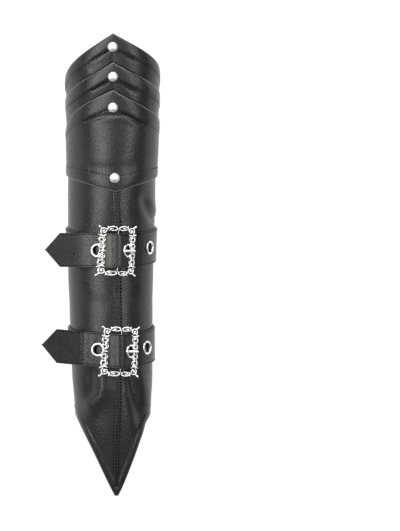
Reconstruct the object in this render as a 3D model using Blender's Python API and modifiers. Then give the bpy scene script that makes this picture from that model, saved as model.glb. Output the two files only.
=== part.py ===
"""Leather gauntlet: a forearm sleeve with peaked cuff plates and two buckled straps.

It lies on its flattened back. +X is the right of the front view, +Y points to the elbow and
+Z up, out of the front of the arm. Tables and named sizes are in millimetres, and mesh
coordinates are turned to metres where a mesh is made.
"""

import math

import bmesh
import bpy
import numpy as np
from mathutils import Matrix, Vector

MM = 0.001
GAP = 0.3

# The tables count across from the arm's axis, which lies this far right of the origin, the
# middle of the whole piece with its tails
AXIS_X = 9.7

# Walls of leather
SLEEVE_WALL = 1.5
PLATE_WALL = 1.2
STRAP_WALL = 1.7
BACK_LEVEL = STRAP_WALL + GAP
CORNER_WIDTH = 22.0
CORNER_SHARE = 0.6

# The outer surface of the sleeve, from the elbow to the point over the hand
STATION_COLUMNS = ("y", "left", "right", "widest", "crest", "twist")
STATIONS = (
    (202.0, -39.6, 40.0, 27.0, 71.0, 1.5),
    (165.0, -39.8, 40.0, 27.0, 71.0, 1.8),
    (140.0, -38.9, 39.6, 27.0, 70.5, 2.0),
    (118.0, -38.9, 39.3, 26.5, 70.0, 2.4),
    (90.0, -38.4, 38.3, 26.5, 69.0, 4.0),
    (63.0, -38.3, 37.5, 26.0, 67.5, 5.5),
    (40.0, -38.3, 37.3, 25.5, 66.0, 8.5),
    (-7.0, -38.1, 35.8, 25.0, 63.0, 10.5),
    (-48.0, -36.6, 35.1, 24.5, 61.0, 11.0),
    (-90.0, -34.8, 35.1, 24.0, 59.0, 10.0),
    (-118.0, -33.1, 34.1, 23.5, 56.5, 8.8),
    (-130.0, -32.2, 33.6, 23.0, 55.0, 7.8),
    (-168.0, -28.8, 33.2, 21.0, 47.0, 3.1),
    (-201.0, -26.0, 33.4, 17.0, 38.0, 0.0),
)

# The edges of the plates, as a height along the arm at the front, half round and the side
EDGE_COLUMNS = ("front", "left_half", "left_side", "right_half", "right_side", "back")
TOP_EDGE = (200.3, 180.0, 160.6, 181.9, 164.0, 156.0)
MIDDLE_EDGE = (174.9, 157.2, 144.4, 158.2, 147.0, 139.5)
PANEL_EDGE = (150.9, 136.0, 117.4, 134.1, 123.9, 114.0)
PANEL_FOOT = (62.8, 71.2, 77.6, 71.2, 77.4, 80.0)
EDGE_BACK_ANGLE = 150.0
TUCK = 5.0

# Height of a plate over the sleeve's surface, by distance below its upper edge
# Columns: distance below the edge, height over the sleeve
PLATE_HEM = ((0.0, 1.5), (3.2, 1.9), (6.4, 1.2), (9.0, 1.3))
PANEL_HEM = ((0.0, 1.5), (3.2, 2.0), (6.6, 1.5), (10.0, 1.6))
PLATE_TUCKED_LIFT = 0.0
PANEL_LIFT = 1.5

# The point over the back of the hand
HAND_CORNER_Y = -129.6
HAND_POINT_Y = -202.5
HAND_TIP_Y = -200.3
HAND_POWER_LEFT = 1.1
HAND_POWER_RIGHT = 1.25
HAND_HEM_LIFT = 0.5
HAND_EDGE_ROUNDS = 6

# Soft folds of the front, along a line seen from above
# Columns: x and y of the start, x and y of the end, width, height
SLEEVE_FOLDS = (
    (28.0, 55.0, 33.5, 38.0, 4.0, -1.8),
    (-13.0, -101.0, -10.5, -111.0, 4.5, 1.3),
    (-10.5, -111.0, -21.0, -122.0, 4.5, 1.3),
    (-26.0, -98.0, -22.0, -114.0, 6.0, -1.3),
    (13.0, -103.0, 22.0, -127.0, 3.2, -2.2),
    (20.5, -99.5, 28.0, -122.0, 3.6, 1.4),
)
PANEL_FOLDS = ((-4.3, 129.0, 26.0, 122.0, 3.0, -0.5),)
SEAM_HALF_ANGLE = 2.6
SEAM_HEIGHT = 0.6
SEAM_REACHES = ((34.0, 57.0), (-53.0, -9.0), (-192.0, -97.0))

# Rows of the meshes along the arm
SLEEVE_ROWS = (104.0, 84.0, 60.0, 51.0, 44.0, 36.0, 28.0, 12.0, -4.0, -20.0, -40.0, -60.0)
SLEEVE_ROWS += (-75.0, -91.0, -98.0, -105.0, -112.0, -118.0)
HAND_SHARES = (0.2, 0.4, 0.6, 0.8)
HAND_HEM_ROWS = (7.0, 3.5, 0.0)

# Rivets
# Columns: name, x, y, height over the sleeve
RIVETS = (
    ("rivet_top", 1.0, 188.3, 1.4),
    ("rivet_middle", 1.2, 162.6, 1.4),
    ("rivet_lower", 1.2, 135.9, 1.7),
    ("rivet_panel", 2.5, 74.9, 1.7),
)
RIVET_RADIUS = 4.4
RIVET_HEIGHT = 3.0
RIVET_STEPS = 16

# Straps and buckles: where the buckle's centre bar lies, and how the tail leaves it
# Columns: name, x and y of the centre bar, how far the strap rises to the back, x of the
# tail's tip and how far the tail rises
STRAPS = (
    ("upper", 4.9, 12.0, 5.6, -57.4, 0.9),
    ("lower", 7.3, -75.3, 7.2, -60.3, 5.6),
)
STRAP_WIDTH = 29.6
TAIL_POINT = 16.5
TAIL_SLOPE = 0.76
TAIL_BEND = 8.0
TAIL_EASE = 1.2
TAIL_TIP = 0.4
DEGREES_ACROSS = 1.6
BAR_RADIUS = 1.1
BAR_HEIGHT = 3.4

# The strap near the buckle, as distance across from the centre bar and height over the
# sleeve's surface
ANCHOR_RETURN = ((-5.0, 2.0), (-2.5, 2.0))
ANCHOR_DOWN = ((-2.0, 4.45), (-4.0, 3.35), (-6.0, 2.0), (-8.0, 1.05), (-10.5, GAP))
BAND_OVER = (
    (14.0, GAP), (11.4, GAP), (8.7, 1.95), (6.6, 3.4), (4.4, 5.1), (2.2, 6.9),
    (0.9, 7.2), (-0.9, 7.2), (-2.6, 6.65), (-5.4, 5.1), (-8.2, 3.6), (-10.8, 2.3),
)
BAND_TAIL = ((-14.8, 2.55), (-18.5, 2.9), (-23.0, 4.3))

# Buckle frame, in its own plane
BUCKLE_HALF = (13.7, 19.2)
BUCKLE_UNDER = 3.0
BUCKLE_TOP = 5.6
BUCKLE_BEVEL = 0.8
BUCKLE_SIDE = 2.5
BUCKLE_LOBE = 0.6
BUCKLE_SPUR = 4.6
BUCKLE_CORNER_TURNS = ((-1.0, 0.0), (-0.3, 0.4), (0.0, 1.0), (0.3, 0.4), (1.0, 0.0))
BUCKLE_TURN = -1.8
LOBES_ACROSS = 4
LOBES_ALONG = 6
STEPS_PER_LOBE = 4

# Prong
PRONG_RADIUS = 0.8
PRONG_HOOK = (70.0, 110.0, 150.0, 190.0, 230.0, 270.0)
PRONG_PATH = ((3.3, 1.3), (5.4, 1.9), (7.3, 3.1), (9.3, 4.8), (11.4, 6.4), (13.8, 6.8), (17.0, 6.5))
SLOT_RADIUS = 3.55
SLOT_HALF_WIDTH = 1.7

# Eyelets, by the place of their centres from above
# Columns: strap, number, x of the centre
EYELETS = (
    ("upper", 1, -11.9), ("upper", 2, 12.0), ("upper", 3, 32.6),
    ("lower", 1, -11.6), ("lower", 2, 14.2), ("lower", 3, 31.6),
)
EYELET_RADIUS = 5.3
EYELET_HOLE = 3.2
EYELET_BARREL = 3.9
EYELET_FLANGE = 0.8
EYELET_STEPS = 14
HOLE_DEPTH = 4.0 * STRAP_WALL

LEATHER = ((0.022, 0.023, 0.025), 0.42, 0.0)
STRAP_LEATHER = ((0.030, 0.029, 0.027), 0.50, 0.0)
NICKEL = ((0.72, 0.72, 0.73), 0.22, 1.0)


def column(table, columns, name):
    return np.array([row[columns.index(name)] for row in table], dtype=float)


def smooth(table, columns, name, at):
    """A cubic through one column of a table, with slopes from the neighbours."""
    x = column(table, columns, columns[0])
    y = column(table, columns, name)
    if x[0] > x[-1]:
        x, y = x[::-1], y[::-1]
    slope = np.gradient(y, x)
    at = np.clip(np.asarray(at, dtype=float), x[0], x[-1])
    i = np.clip(np.searchsorted(x, at) - 1, 0, len(x) - 2)
    step = x[i + 1] - x[i]
    t = (at - x[i]) / step
    rise = y[i] * (2 * t**3 - 3 * t**2 + 1) + y[i + 1] * (3 * t**2 - 2 * t**3)
    return rise + step * (slope[i] * (t**3 - 2 * t**2 + t) + slope[i + 1] * (t**3 - t**2))


def station(name, y):
    return smooth(STATIONS, STATION_COLUMNS, name, y)


# The arm's surface

def arm_point(y, angle, lift):
    """A point and its normal on the arm's surface, raised by lift.

    The angle is 0 at the front, 90 at the right side and 180 at the back, in degrees. The
    front is half an ellipse, the back is flat, and quarter ellipses join them.
    """
    y, angle, lift = np.broadcast_arrays(*(np.asarray(v, dtype=float) for v in (y, angle, lift)))
    left, right = station("left", y), station("right", y)
    middle, half = (left + right) / 2, (right - left) / 2
    widest, crest = station("widest", y), station("crest", y)
    turned = (angle + 180.0) % 360.0 - 180.0
    side = np.sign(turned)
    size = np.abs(turned)
    front = np.radians(np.minimum(size, 90.0))
    share = np.clip(size / 90.0 - 1.0, 0.0, 1.0)
    corner = np.radians(90.0) * np.minimum(share / CORNER_SHARE, 1.0)
    flat = np.clip((share - CORNER_SHARE) / (1.0 - CORNER_SHARE), 0.0, 1.0)
    depth = widest - BACK_LEVEL
    is_front = size <= 90.0
    x = np.where(
        is_front,
        half * np.sin(front),
        (half - CORNER_WIDTH + CORNER_WIDTH * np.cos(corner)) * (1.0 - flat),
    )
    z = np.where(is_front, widest + (crest - widest) * np.cos(front), widest - depth * np.sin(corner))
    nx = np.where(is_front, (crest - widest) * np.sin(front), depth * np.cos(corner))
    nz = np.where(is_front, half * np.cos(front), -CORNER_WIDTH * np.sin(corner))
    length = np.hypot(nx, nz)
    nx, nz = side * nx / length, nz / length
    return np.stack([middle + side * x + lift * nx, y, z + lift * nz], axis=-1), nx, nz


def turned_angle(y, angle):
    """The leather's own angle, turned a little round the arm at its front."""
    front = np.maximum(np.cos(np.radians(angle)), 0.0)
    return angle + station("twist", y) * front


def fold_height(points, folds):
    """Soft ridges and valleys along straight lines seen from above, on the front only."""
    height = np.zeros(points.shape[:-1])
    for x0, y0, x1, y1, width, rise in folds:
        dx, dy = x1 - x0, y1 - y0
        along = ((points[..., 0] - x0) * dx + (points[..., 1] - y0) * dy) / (dx**2 + dy**2)
        along = np.clip(along, 0.0, 1.0)
        off = np.hypot(points[..., 0] - x0 - along * dx, points[..., 1] - y0 - along * dy)
        height += rise * np.exp(-((off / width) ** 2))
    return height * (points[..., 2] > BACK_LEVEL + 20.0)


def edge_height(edge, angle):
    """The height of a plate's edge round the arm: a parabola each side, level at the back."""
    value = dict(zip(EDGE_COLUMNS, edge))
    size = np.abs(angle)
    right = angle >= 0
    front = value["front"]
    half = np.where(right, value["right_half"], value["left_half"]) - front
    whole = np.where(right, value["right_side"], value["left_side"]) - front
    t = np.minimum(size, 90.0) / 90.0
    bend = 2 * whole - 4 * half
    curve = front + (whole - bend) * t + bend * t**2
    ease = np.clip((size - 90.0) / (EDGE_BACK_ANGLE - 90.0), 0.0, 1.0)
    ease = ease * ease * (3 - 2 * ease)
    return curve + (value["back"] - curve) * ease


# Meshes and materials

def round_angles(extra=()):
    """Angles of the mesh's columns: the front in even steps, then the corners and back."""
    front = list(np.linspace(-90.0, 90.0, 21)) + list(extra)
    corners = [90.0 + 90.0 * CORNER_SHARE * k / 4 for k in (1, 2, 3, 4)]
    back = [162.0]
    sides = corners + back
    return np.array(sorted(front + sides + [-a for a in sides] + [180.0]))


def material(name, finish):
    colour, rough, metal = finish
    made = bpy.data.materials.get(name) or bpy.data.materials.new(name)
    made.use_nodes = True
    shader = made.node_tree.nodes["Principled BSDF"]
    shader.inputs["Base Color"].default_value = (*colour, 1.0)
    shader.inputs["Roughness"].default_value = rough
    shader.inputs["Metallic"].default_value = metal
    return made


def add_object(name, mesh, finish, group):
    made = bpy.data.objects.new(name, mesh)
    group.objects.link(made)
    if finish:
        mesh.materials.append(material(*finish))
    mesh.shade_smooth()
    mesh.set_sharp_from_angle(angle=math.radians(40))
    return made


def grid_mesh(name, points, closed):
    """A sheet of quads through rows of points, in millimetres."""
    rows, columns = points.shape[:2]
    index = np.arange(rows * columns).reshape(rows, columns)
    last = columns if closed else columns - 1
    faces = []
    for r in range(rows - 1):
        for c in range(last):
            d = (c + 1) % columns
            faces.append((index[r, c], index[r + 1, c], index[r + 1, d], index[r, d]))
    mesh = bpy.data.meshes.new(name)
    mesh.from_pydata((points.reshape(-1, 3) * MM).tolist(), [], faces)
    return mesh


def leather_sheet(name, points, closed, wall, offset, finish, group):
    """An open sheet given its thickness with Solidify."""
    made = add_object(name, grid_mesh(name, points, closed), finish, group)
    solid = made.modifiers.new("wall", "SOLIDIFY")
    solid.thickness = wall * MM
    solid.offset = offset
    solid.use_even_offset = True
    return made


def cut(body, cutter):
    made = body.modifiers.new("cut_" + cutter.name, "BOOLEAN")
    made.object = cutter
    made.operation = "DIFFERENCE"
    made.solver = "EXACT"


def hide_cutter(cutter):
    cutter.hide_render = True
    cutter.display_type = "WIRE"


# Sleeve and plates

def sleeve(group):
    angles = round_angles(extra=(-SEAM_HALF_ANGLE, SEAM_HALF_ANGLE))
    rows = [np.full(len(angles), y) for y in SLEEVE_ROWS]
    ends = hand_edge(angles)
    for _ in range(HAND_EDGE_ROUNDS):
        ends = hand_edge(turned_angle(ends, angles))
    start = rows[-1]
    hem_top = ends + HAND_HEM_ROWS[0]
    rows += [start + (hem_top - start) * share for share in HAND_SHARES]
    rows += [ends + up for up in HAND_HEM_ROWS]
    y = np.array(rows)
    turned = turned_angle(y, angles)
    base, _, _ = arm_point(y, turned, 0.0)
    lift = fold_height(base, SLEEVE_FOLDS)
    lift[-2] += HAND_HEM_LIFT
    on_seam = np.isclose(angles, 0.0)
    lift += on_seam * SEAM_HEIGHT * seam_share(y)
    points, _, _ = arm_point(y, turned, lift)
    return leather_sheet(
        "sleeve", points, True, SLEEVE_WALL, -1.0, ("black_leather", LEATHER), group
    )


def hand_edge(angle):
    """The hand end's edge: straight across behind, and a V from the sides to the point."""
    size = np.minimum(np.abs(angle), 90.0)
    power = np.where(angle > 0, HAND_POWER_RIGHT, HAND_POWER_LEFT)
    across = np.sin(np.radians(size)) ** power
    return np.maximum(HAND_POINT_Y + (HAND_CORNER_Y - HAND_POINT_Y) * across, HAND_TIP_Y)


def seam_share(y):
    share = np.zeros_like(y)
    for low, high in SEAM_REACHES:
        share = np.maximum(share, (y > low) & (y < high))
    return share


def plate(name, edge, next_edge, group):
    """A plate whose lower part is tucked under the next one's hem."""
    angles = round_angles()
    top = edge_height(edge, angles)
    foot = edge_height(next_edge, angles)
    below = [row[0] for row in PLATE_HEM]
    lifts = [row[1] for row in PLATE_HEM]
    rows = [top - b for b in below]
    rows += [foot, foot - TUCK]
    lifts += [PLATE_TUCKED_LIFT, PLATE_TUCKED_LIFT]
    y = np.array(rows)
    points, _, _ = arm_point(y, turned_angle(y, angles), np.array(lifts)[:, None])
    return leather_sheet(
        name, points, True, PLATE_WALL, -1.0, ("black_leather", LEATHER), group
    )


def panel(group):
    """The outermost plate, hemmed along its peaked upper edge and its V below."""
    angles = round_angles()
    top = edge_height(PANEL_EDGE, angles)
    foot = edge_height(PANEL_FOOT, angles)
    upper = [top - b for b, _ in PANEL_HEM]
    lower = [foot + b for b, _ in reversed(PANEL_HEM)]
    middle = [upper[-1] + (lower[0] - upper[-1]) * share for share in (0.25, 0.5, 0.75)]
    lifts = [up for _, up in PANEL_HEM] + [PANEL_LIFT] * len(middle)
    lifts += [up for _, up in reversed(PANEL_HEM)]
    y = np.array(upper + middle + lower)
    turned = turned_angle(y, angles)
    base, _, _ = arm_point(y, turned, 0.0)
    lift = np.array(lifts)[:, None] + fold_height(base, PANEL_FOLDS)
    points, _, _ = arm_point(y, turned, lift)
    return leather_sheet(
        "cuff_panel", points, True, PLATE_WALL, -1.0, ("black_leather", LEATHER), group
    )


def front_place(x, y, lift):
    """The frame of a small part on the front: its place, and its Z along the normal."""
    left, right = station("left", y), station("right", y)
    angle = math.degrees(math.asin((x - (left + right) / 2) / ((right - left) / 2)))
    here, nx, nz = arm_point(y, angle, lift)
    ahead, _, _ = arm_point(y + 2.0, angle, lift)
    along = Vector((ahead - here).tolist()).normalized()
    out = Vector((float(nx), 0.0, float(nz)))
    across = along.cross(out).normalized()
    out = across.cross(along)
    place = Matrix((across, along, out)).transposed().to_4x4()
    place.translation = Vector((here * MM).tolist())
    return place


def rivets(group):
    for name, x, y, lift in RIVETS:
        mesh = bpy.data.meshes.new(name)
        shape = bmesh.new()
        dome = RIVET_STEPS // 2
        bmesh.ops.create_uvsphere(shape, u_segments=RIVET_STEPS, v_segments=dome, radius=MM)
        low = [v for v in shape.verts if v.co.z < -0.01 * MM]
        bmesh.ops.delete(shape, geom=low, context="VERTS")
        rim = [e for e in shape.edges if e.is_boundary]
        bmesh.ops.edgeloop_fill(shape, edges=rim)
        bmesh.ops.scale(shape, verts=shape.verts, vec=(RIVET_RADIUS, RIVET_RADIUS, RIVET_HEIGHT))
        bmesh.ops.recalc_face_normals(shape, faces=shape.faces)
        shape.to_mesh(mesh)
        shape.free()
        made = add_object(name, mesh, ("nickel", NICKEL), group)
        made.matrix_world = front_place(x, y, lift + GAP + 0.1)


# Straps

def strap_frame(bar_x, strap_y):
    """The directions across the buckle and out of it, as pairs of x and z."""
    left, right = station("left", strap_y), station("right", strap_y)
    angle = math.asin((bar_x - (left + right) / 2) / ((right - left) / 2))
    _, nx, nz = arm_point(strap_y, math.degrees(angle), 0.0)
    return (float(nz), -float(nx)), (float(nx), float(nz))


def bar_foot(bar_x, y):
    """The sleeve's surface under the centre bar."""
    left, right = station("left", y), station("right", y)
    angle = np.degrees(np.arcsin((bar_x - (left + right) / 2) / ((right - left) / 2)))
    return arm_point(y, angle, 0.0)[0]


def surface_below(bar_x, strap_y, across, y):
    """How far the sleeve's surface lies under the buckle's plane, at a distance across."""
    tangent, normal = strap_frame(bar_x, strap_y)
    points, _, _ = arm_point(y, np.linspace(-85.0, 85.0, 171), 0.0)
    off = points - bar_foot(bar_x, y)
    u = off[:, 0] * tangent[0] + off[:, 2] * tangent[1]
    v = off[:, 0] * normal[0] + off[:, 2] * normal[1]
    return np.interp(across, u, v)


def buckle_point(bar_x, strap_y, u, v, y):
    tangent, normal = strap_frame(bar_x, strap_y)
    foot = bar_foot(bar_x, y)
    x = foot[0] + u * tangent[0] + v * normal[0]
    return (x, y, foot[2] + u * tangent[1] + v * normal[1])


def strap_path(bar_x, strap_y, strap_rise, tail_x, tail_rise, side):
    """The inner face of the strap along one edge; side is -1, 0 or 1 across its width.

    From the end turned back under the centre bar, round the bar, left round the sleeve, up
    on the right, over the bar again and out to the tail.
    """
    edge = side * STRAP_WIDTH / 2

    def wrapped(u):
        return strap_rise * (1.0 - math.cos(math.radians(abs(u) * DEGREES_ACROSS)))

    def leaving(u):
        return wrapped(u) if u > 0 else tail_rise * -u / (bar_x - tail_x)

    def above(u, height, rise):
        y = strap_y + rise + edge
        v = float(surface_below(bar_x, strap_y, u, y)) + height
        return buckle_point(bar_x, strap_y, u, v, y)

    path = [above(u, v, 0.0) for u, v in ANCHOR_RETURN]
    around = BAR_RADIUS + GAP
    for turn in (-90.0, -45.0, 0.0, 45.0, 90.0):
        u = around * math.cos(math.radians(turn))
        v = BAR_HEIGHT + around * math.sin(math.radians(turn))
        path.append(buckle_point(bar_x, strap_y, u, v, strap_y + edge))
    path += [above(u, v, wrapped(u)) for u, v in ANCHOR_DOWN]
    for angle in wrap_angles():
        y = strap_y + strap_rise * (1.0 - math.cos(math.radians(angle)))
        path.append(tuple(arm_point(y + edge, angle, GAP)[0]))
    path += [above(u, v, leaving(u)) for u, v in BAND_OVER + BAND_TAIL]
    x, y, z = path[-1]
    slope = tail_rise / (bar_x - tail_x)
    return path + tail_path((x, y - edge, z), tail_x, slope, edge)


def wrap_angles():
    left = [-16.0, -25.0, -34.0, -44.0, -54.0, -63.0, -72.0, -81.0, -90.0]
    corner = [90.0 + 90.0 * CORNER_SHARE * k / 4 for k in (1, 2, 3, 4)]
    right = [90.0, 81.0, 72.0, 63.0, 54.0, 44.0, 36.0]
    return left + [-a for a in corner] + [-162.0, 180.0, 162.0] + corner[::-1] + right


def tail_path(start, tail_x, slope, edge):
    """The straight tail, with the corners of its point and its tip."""
    x0, y0, z0 = start
    points = []
    corner_x = tail_x + TAIL_POINT * math.cos(math.atan(TAIL_SLOPE))
    bend_x = x0 - TAIL_BEND
    for x in (bend_x, (bend_x + corner_x) / 2, corner_x, tail_x):
        out = edge if x > tail_x else math.copysign(TAIL_TIP, edge) * (edge != 0.0)
        down = TAIL_SLOPE * (x0 - x) - TAIL_EASE
        points.append((x, y0 + slope * (x0 - x) + out, z0 - down))
    return points


def straps(group, cutters):
    for name, *route in STRAPS:
        bar_x, y = route[:2]
        edges = [strap_path(*route, side) for side in (1, -1)]
        points = np.array(edges).transpose(1, 0, 2)
        made = leather_sheet(
            name + "_strap", points, False, STRAP_WALL, 1.0,
            ("strap_leather", STRAP_LEATHER), group,
        )
        slot = ring_cutter(name + "_slot", SLOT_RADIUS, 2 * SLOT_HALF_WIDTH, cutters)
        slot.matrix_world = bar_place(bar_x, y, BAR_HEIGHT) @ Matrix.Rotation(math.pi / 2, 4, "X")
        cut(made, slot)
        for strap_name, number, x in EYELETS:
            if strap_name == name:
                place = eyelet_place(route, x)
                add_eyelet(f"{name}_eyelet_{number}", place, group)
                hole = ring_cutter(
                    f"{name}_hole_{number}", EYELET_BARREL + GAP, HOLE_DEPTH, cutters
                )
                hole.matrix_world = place
                cut(made, hole)


def eyelet_place(route, x):
    """The frame of an eyelet on the outermost run of the strap, Z out of the leather."""
    path = np.array(strap_path(*route, 0))
    first = len(ANCHOR_RETURN) + 5 + len(ANCHOR_DOWN) + len(wrap_angles()) - 6
    run = path[first:]
    k = int(np.searchsorted(-run[:, 0], -x)) - 1
    share = (run[k, 0] - x) / (run[k, 0] - run[k + 1, 0])
    here = run[k] + (run[k + 1] - run[k]) * share
    across = Vector((run[k] - run[k + 1]).tolist()).normalized()
    out = across.cross(Vector((0.0, 1.0, 0.0))).normalized()
    along = out.cross(across)
    place = Matrix((across, along, out)).transposed().to_4x4()
    place.translation = Vector((here * MM).tolist()) + out * STRAP_WALL * MM
    return place


def ring_cutter(name, radius, height, cutters):
    mesh = bpy.data.meshes.new(name)
    shape = bmesh.new()
    bmesh.ops.create_cone(
        shape, cap_ends=True, segments=EYELET_STEPS,
        radius1=radius * MM, radius2=radius * MM, depth=height * MM,
    )
    shape.to_mesh(mesh)
    shape.free()
    made = bpy.data.objects.new(name, mesh)
    cutters.objects.link(made)
    hide_cutter(made)
    return made


def add_eyelet(name, place, group):
    """A turned ring: a flange over the leather and a barrel down through it."""
    rim = EYELET_FLANGE * 0.5
    profile = (
        (EYELET_HOLE, GAP + EYELET_FLANGE), (EYELET_RADIUS - rim, GAP + EYELET_FLANGE),
        (EYELET_RADIUS, GAP), (EYELET_BARREL, GAP), (EYELET_BARREL, -STRAP_WALL),
        (EYELET_HOLE, -STRAP_WALL),
    )
    mesh = bpy.data.meshes.new(name)
    verts = [(r * MM, 0.0, z * MM) for r, z in profile]
    edges = [(k, (k + 1) % len(profile)) for k in range(len(profile))]
    mesh.from_pydata(verts, edges, [])
    made = add_object(name, mesh, ("nickel", NICKEL), group)
    turn = made.modifiers.new("turn", "SCREW")
    turn.axis = "Z"
    turn.steps = EYELET_STEPS
    turn.render_steps = EYELET_STEPS
    turn.use_merge_vertices = True
    turn.merge_threshold = 0.00001
    made.matrix_world = place


# Buckles

def bar_place(bar_x, strap_y, height):
    """The frame of the buckle: X across, Y along the centre bar and Z out."""
    reach = BUCKLE_HALF[1]
    low = Vector((bar_foot(bar_x, strap_y - reach) * MM).tolist())
    high = Vector((bar_foot(bar_x, strap_y + reach) * MM).tolist())
    along = (high - low).normalized()
    tangent, _ = strap_frame(bar_x, strap_y)
    across = Vector((tangent[0], 0.0, tangent[1]))
    out = across.cross(along).normalized()
    across = along.cross(out)
    place = Matrix((across, along, out)).transposed().to_4x4()
    place.translation = (low + high) / 2 + out * height * MM
    return place


def frame_outline():
    """Rows round the frame: a point of its middle line, its outer edge and its inner edge."""
    half_x, half_y = BUCKLE_HALF
    rows = []
    sides = (
        (Vector((-half_x, -half_y)), Vector((1, 0)), 2 * half_x, LOBES_ACROSS),
        (Vector((half_x, -half_y)), Vector((0, 1)), 2 * half_y, LOBES_ALONG),
        (Vector((half_x, half_y)), Vector((-1, 0)), 2 * half_x, LOBES_ACROSS),
        (Vector((-half_x, half_y)), Vector((0, -1)), 2 * half_y, LOBES_ALONG),
    )
    for start, along, length, lobes in sides:
        out = Vector((along.y, -along.x))
        steps = lobes * STEPS_PER_LOBE
        for k in range(1, steps):
            share = k / steps
            wave = math.cos(2 * math.pi * lobes * share)
            side = BUCKLE_SIDE - BUCKLE_LOBE * wave
            place = start + along * length * share
            rows.append((place, place + out * side, place - out * BUCKLE_SIDE))
        corner = start + along * length
        inside = corner - (out + along) * BUCKLE_SIDE
        for bend, spur in BUCKLE_CORNER_TURNS:
            angle = (1.0 + bend) * math.pi / 4
            way = out * math.cos(angle) + along * math.sin(angle)
            reach = BUCKLE_SIDE + BUCKLE_LOBE + BUCKLE_SPUR * spur
            rows.append((corner, corner + way * reach, inside))
    return rows


def buckles(group, cutters):
    for name, bar_x, y, _, _, _ in STRAPS:
        rings = []
        top = BUCKLE_TOP - BUCKLE_UNDER
        for place, outward, inward in frame_outline():
            rings.append([
                (inward.x, inward.y, 0.0), (inward.x, inward.y, top - BUCKLE_BEVEL),
                (place.x, place.y, top), (outward.x, outward.y, top - BUCKLE_BEVEL),
                (outward.x, outward.y, 0.0),
            ])
        points = np.array(rings)
        mesh = ring_mesh(name + "_buckle", points)
        made = add_object(name + "_buckle", mesh, ("nickel", NICKEL), group)
        turn = Matrix.Rotation(math.radians(BUCKLE_TURN), 4, "Z")
        made.matrix_world = bar_place(bar_x, y, BUCKLE_UNDER) @ turn
        bar = centre_bar(name, cutters)
        bar.matrix_world = bar_place(bar_x, y, BAR_HEIGHT) @ Matrix.Rotation(math.pi / 2, 4, "X")
        join = made.modifiers.new("centre_bar", "BOOLEAN")
        join.object = bar
        join.operation = "UNION"
        join.solver = "EXACT"


def ring_mesh(name, points):
    """A closed ring of sections, each a closed loop of points."""
    rows, columns = points.shape[:2]
    faces = []
    for r in range(rows):
        s = (r + 1) % rows
        for c in range(columns):
            d = (c + 1) % columns
            faces.append((r * columns + c, s * columns + c, s * columns + d, r * columns + d))
    mesh = bpy.data.meshes.new(name)
    mesh.from_pydata((points.reshape(-1, 3) * MM).tolist(), [], faces)
    shape = bmesh.new()
    shape.from_mesh(mesh)
    bmesh.ops.remove_doubles(shape, verts=shape.verts, dist=0.00001)
    bmesh.ops.recalc_face_normals(shape, faces=shape.faces)
    shape.to_mesh(mesh)
    shape.free()
    return mesh


def centre_bar(name, cutters):
    mesh = bpy.data.meshes.new(name + "_bar")
    shape = bmesh.new()
    bmesh.ops.create_cone(
        shape, cap_ends=True, segments=10,
        radius1=BAR_RADIUS * MM, radius2=BAR_RADIUS * MM, depth=2 * BUCKLE_HALF[1] * MM,
    )
    shape.to_mesh(mesh)
    shape.free()
    made = bpy.data.objects.new(name + "_bar", mesh)
    cutters.objects.link(made)
    hide_cutter(made)
    return made


def prongs(group):
    """A bent wire: a hook round the centre bar, up through the eyelet, over the frame."""
    around = BAR_RADIUS + GAP + PRONG_RADIUS
    route = []
    for turn in PRONG_HOOK:
        angle = math.radians(turn)
        route.append((around * math.cos(angle), BAR_HEIGHT + around * math.sin(angle)))
    route += PRONG_PATH
    for name, bar_x, y, _, _, _ in STRAPS:
        curve = bpy.data.curves.new(name + "_prong", "CURVE")
        curve.dimensions = "3D"
        curve.bevel_depth = PRONG_RADIUS * MM
        curve.bevel_resolution = 2
        curve.use_fill_caps = True
        line = curve.splines.new("POLY")
        line.points.add(len(route) - 1)
        for point, (u, v) in zip(line.points, route):
            point.co = (u * MM, 0.0, v * MM, 1.0)
        curve.materials.append(material("nickel", NICKEL))
        made = bpy.data.objects.new(name + "_prong", curve)
        group.objects.link(made)
        made.matrix_world = bar_place(bar_x, y, 0.0)


def main():
    for old in list(bpy.data.objects):
        bpy.data.objects.remove(old)
    group = bpy.data.collections.new("leather_gauntlet")
    cutters = bpy.data.collections.new("cutters")
    bpy.context.scene.collection.children.link(group)
    bpy.context.scene.collection.children.link(cutters)
    sleeve(group)
    plate("cuff_lame_top", TOP_EDGE, MIDDLE_EDGE, group)
    plate("cuff_lame_middle", MIDDLE_EDGE, PANEL_EDGE, group)
    panel(group)
    rivets(group)
    straps(group, cutters)
    buckles(group, cutters)
    prongs(group)
    for made in list(group.objects) + list(cutters.objects):
        made.location.x += AXIS_X * MM


main()
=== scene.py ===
# %% [markdown]
# A long leather arm guard, lying on its back on a pale table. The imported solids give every
# size and place. Here each leather piece is made again as a fine skin with its hems, seams,
# folds and stitches, and each piece of metal as the casting or turning that it is.

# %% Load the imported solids
import math

import bmesh
import bpy
import numpy as np
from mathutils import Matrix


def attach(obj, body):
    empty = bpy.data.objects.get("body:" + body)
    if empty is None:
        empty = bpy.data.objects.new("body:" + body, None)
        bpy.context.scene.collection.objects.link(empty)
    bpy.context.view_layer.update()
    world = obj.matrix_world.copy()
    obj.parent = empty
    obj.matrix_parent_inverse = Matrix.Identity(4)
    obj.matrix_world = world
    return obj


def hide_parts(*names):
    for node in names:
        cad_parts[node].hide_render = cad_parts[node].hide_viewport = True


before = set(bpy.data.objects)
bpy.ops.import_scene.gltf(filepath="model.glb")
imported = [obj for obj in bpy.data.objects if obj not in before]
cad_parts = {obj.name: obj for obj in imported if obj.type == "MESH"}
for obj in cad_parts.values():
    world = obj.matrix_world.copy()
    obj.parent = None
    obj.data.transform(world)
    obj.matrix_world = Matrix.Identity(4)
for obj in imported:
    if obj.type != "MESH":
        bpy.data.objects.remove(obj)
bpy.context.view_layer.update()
MM = 0.001

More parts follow.
